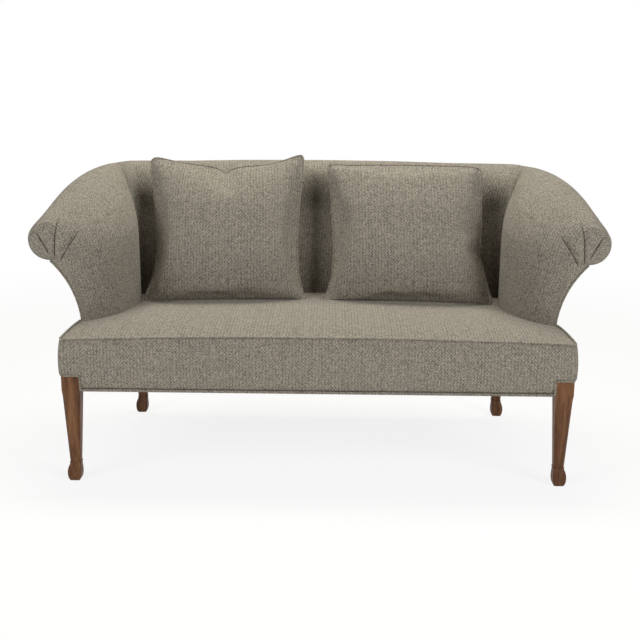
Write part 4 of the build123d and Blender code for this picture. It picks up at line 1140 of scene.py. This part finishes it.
for side, hand in (("left", -1), ("right", 1)):
    cut = arm_cuts[hand][0]
    line = outside_points(cut, arm_welt_inset)[: base_count + flare_count + 1]
    line = line[line[:, 1] > arm_welt_low]
    spots = place_slice(cut, line, hand) + np.array([0, -arm_welt_radius, 0])
    welt(f"{side}_arm_edge_welt", spaced(spots, welt_gap), arm_welt_radius, "sofa", (f"{side}_arm_welt",))

# %% [markdown]
# ## The loose cushions
# Each cushion is two square cloths sewn at the edge over a soft fill. The corners stay out as ears while
# the sides pull in, the lower half is fuller, and the left one has a hand's chop in its top edge. The right
# one is pinched a little at its outer side, where it leans on the arm. Both faces are one grid bent to that
# outline, which is easier to steer than a cloth that is blown up from a flat square.

# %% Cushion form
cushion_lean, cushion_foot, cushion_low = 20.0, 388.0, 404.0
cushion_cells, waist = 56, -0.25
pinch_reach, chop_reach, dent_reach = 0.12, 0.08, 0.3
fat_power, fat_edge, low_fat, dent_share = 2.8, 0.9, 0.16, 0.011


def cushion_edge(shape, a, b):
    """Place in the cushion's own plane for a, b from -1 to 1: sides drawn in, corners out and rounded."""
    wide = mix(shape["bottom"], shape["top"], (b + 1) / 2) / 2
    from_waist = (b - waist) / ((1 if b > waist else -1) - waist)
    pull_side = shape["pull_right" if a > 0 else "pull_left"] * (1 - from_waist**1.8)
    if a > 0:
        pull_side += shape["pinch"] * math.exp(-abs(b - waist) / pinch_reach)
    x = a * (wide - pull_side * abs(a) ** 1.5) + shape["skew"] * b
    z = b * shape["tall"] / 2
    if b > 0:
        z -= shape["draw"] * b**3 * (1 - a * a)
        z -= shape["chop"] * b**4 * math.exp(-abs(a - shape["chop_at"]) / chop_reach)
        z += shape["ear_right" if a > 0 else "ear_left"] * b**3 * abs(a) ** 3.5
    corner = (abs(a) * abs(b)) ** 14 * shape["round"]
    return x - math.copysign(corner, a), z - math.copysign(corner, b)


def cushion_fat(shape, a, b):
    """Share of the full thickness at a place of the face."""
    fat = max(0.0, (1 - abs(a) ** fat_power) * (1 - abs(b) ** fat_power)) ** fat_edge
    dent = math.exp(-(((a - shape["chop_at"]) / dent_reach) ** 2)) * max(0.0, b) ** 2
    return fat * (1.0 - low_fat * b - dent_share * shape["chop"] * dent)


def cushion_points(shape):
    """Grid of both faces; the two share the points of the seam."""
    n = cushion_cells
    steps = np.sin(np.linspace(-math.pi / 2, math.pi / 2, n + 1))
    steps = 0.45 * steps + 0.55 * np.linspace(-1, 1, n + 1)
    lean = math.radians(cushion_lean)
    points, index = [], {}
    for layer in (1, -1):
        for i, b in enumerate(steps):
            for j, a in enumerate(steps):
                if layer < 0 and (i in (0, n) or j in (0, n)):
                    index[layer, i, j] = index[1, i, j]
                    continue
                x, z = cushion_edge(shape, a, b)
                out = layer * cushion_fat(shape, a, b) * shape["thick"] / 2
                back = shape["tip"] * max(0.0, b) ** 4
                up = z + shape["tall"] / 2
                depth = cushion_foot + up * math.sin(lean) - out * math.cos(lean) + back
                level = cushion_low + up * math.cos(lean) + out * math.sin(lean)
                index[layer, i, j] = len(points)
                points.append(at(shape["x"] + x, depth, level))
    return np.array(points), index, steps


cushion_shapes = {
    "left": dict(
        x=-286, skew=-2, bottom=512, top=512, tall=464, thick=128, round=11, tip=8,
        pull_left=26, pull_right=22, pinch=0, draw=8, ear_left=6, ear_right=20, chop=25, chop_at=-0.02,
    ),
    "right": dict(
        x=263, skew=-5, bottom=522, top=510, tall=458, thick=128, round=9, tip=6,
        pull_left=18, pull_right=14, pinch=11, draw=-8, ear_left=3, ear_right=-2, chop=0, chop_at=0,
    ),
}
print("cushion grid:", cushion_cells, "by", cushion_cells)

# %% [markdown]
# ### Letting the cloth settle
# A drawn cushion looks like a drawing. So each one is handed to the cloth solver for a moment, with a
# gentle pressure that stands in for the fill: the faces swell and the seam is drawn in. How far a point may
# travel is capped, so the cushion keeps its measured shape. Then its foot is flattened where it would sink
# into the seat, as a cushion's own weight does.

# %% Settling a cushion
fill_pressure, settle_frames, settle_cap = 2.2, 20, 0.020
foot_gap, foot_bend = 0.0012, 0.006


def move_points(piece, points):
    piece.data.vertices.foreach_set("co", points.astype(np.float32).ravel())
    piece.data.update()


def settle(piece):
    cloth = piece.modifiers.new("settle", "CLOTH")
    rules = cloth.settings
    rules.quality, rules.mass = 8, 0.3
    rules.tension_stiffness = rules.compression_stiffness = 25
    rules.shear_stiffness, rules.bending_stiffness = 8, 0.1
    rules.use_pressure, rules.uniform_pressure_force = True, fill_pressure
    rules.effector_weights.gravity = 0.0
    cloth.collision_settings.use_collision = False
    cloth.point_cache.frame_start, cloth.point_cache.frame_end = 1, settle_frames
    start = np.array([v.co for v in piece.data.vertices])
    for moment in range(1, settle_frames + 1):
        scene.frame_set(moment)
    settled = piece.evaluated_get(bpy.context.evaluated_depsgraph_get())
    moved = np.array([v.co for v in settled.data.vertices]) - start
    far = np.linalg.norm(moved, axis=1)
    moved /= np.sqrt(1 + (far / settle_cap) ** 2)[:, None]
    piece.modifiers.remove(cloth)
    scene.frame_set(1)
    move_points(piece, start + moved)
    most = round(float(far.max()) * 1000, 1)
    print(piece.name, "wanted to move", most, "mm at most, and was held to", settle_cap * 1000)
    return start + moved


def rest_on_seat(piece, points):
    """Flattens the foot of a cushion where it would sink into the seat."""
    rested = points.copy()
    for point in rested:
        level = seat_level(point[0] * 1000, point[1] * 1000 + depth_all / 2) / 1000 + foot_gap
        under = level - point[2]
        if under > -foot_bend:
            point[2] = level + (0.0 if under > foot_bend else (under - foot_bend) ** 2 / (4 * foot_bend))
    move_points(piece, rested)
    return rested


print("fill pressure", fill_pressure, "for", settle_frames, "frames")

# %% [markdown]
# ### Both cushions
# The two faces of a cushion lie side by side in the cloth's flat coordinates. Once a cushion has settled,
# its welt follows the points of the seam.

# %% Cushions
flat_wide, flat_tall, back_face_apart, cushion_welt_radius = 0.235, 0.225, 0.6, 0.0030


def cushion_piece(side, shape):
    n = cushion_cells
    points, index, steps = cushion_points(shape)
    faces, cloth = [], []
    for layer in (1, -1):
        apart = back_face_apart if layer < 0 else 0
        for i in range(n):
            for j in range(n):
                spots = [(i, j), (i, j + 1), (i + 1, j + 1), (i + 1, j)]
                faces.append(tuple(index[layer, p, q] for p, q in spots))
                cloth.append([(steps[q] * flat_wide + apart, steps[p] * flat_tall) for p, q in spots])
    body, replaced = f"{side}_cushion", (f"{side}_cushion_cover", f"{side}_cushion_fill")
    piece = new_piece(f"{side}_cushion", points, faces, cloth, tweed, body, replaced)
    ring = [index[1, 0, j] for j in range(n)] + [index[1, i, n] for i in range(n)]
    ring += [index[1, n, j] for j in range(n, 0, -1)] + [index[1, i, 0] for i in range(n, 0, -1)]
    points = settle(piece)
    points = rest_on_seat(piece, points)
    rounder = piece.modifiers.new("rounder", "SUBSURF")
    rounder.levels = rounder.render_levels = 1
    seam, replaced = f"{side}_cushion_edge_welt", (f"{side}_cushion_welt",)
    welt(seam, points[ring], cushion_welt_radius, body, replaced, closed=True)


for side, shape in cushion_shapes.items():
    cushion_piece(side, shape)

# %% [markdown]
# ## The pieces that stay as they are
# The legs, the frame, the springs and the dust cover keep their constructed shapes and take a finish by
# their material slot.

# %% Finishes on the constructed pieces
slot_of = {row["node"]: row["material_slot"] for row in frame["record"]["subparts"]}
for name, node in frame["nodes"].items():
    node.data.materials.clear()
    node.data.materials.append(finishes[slot_of[name]])
print("finished", len(frame["nodes"]), "constructed pieces")

# %% [markdown]
# ## The box
# Last, the dressed sofa's box is set beside the constructed one, so a glance shows how far the cloth grew
# past it.

# %% Sizes and finish
low, high = [list(corner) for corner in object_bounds()]
grown_low = [round((a - b) * 1000, 1) for a, b in zip(cad_low, low)]
grown_high = [round((b - a) * 1000, 1) for a, b in zip(cad_high, high)]
print("grown by", grown_low, grown_high, "mm")
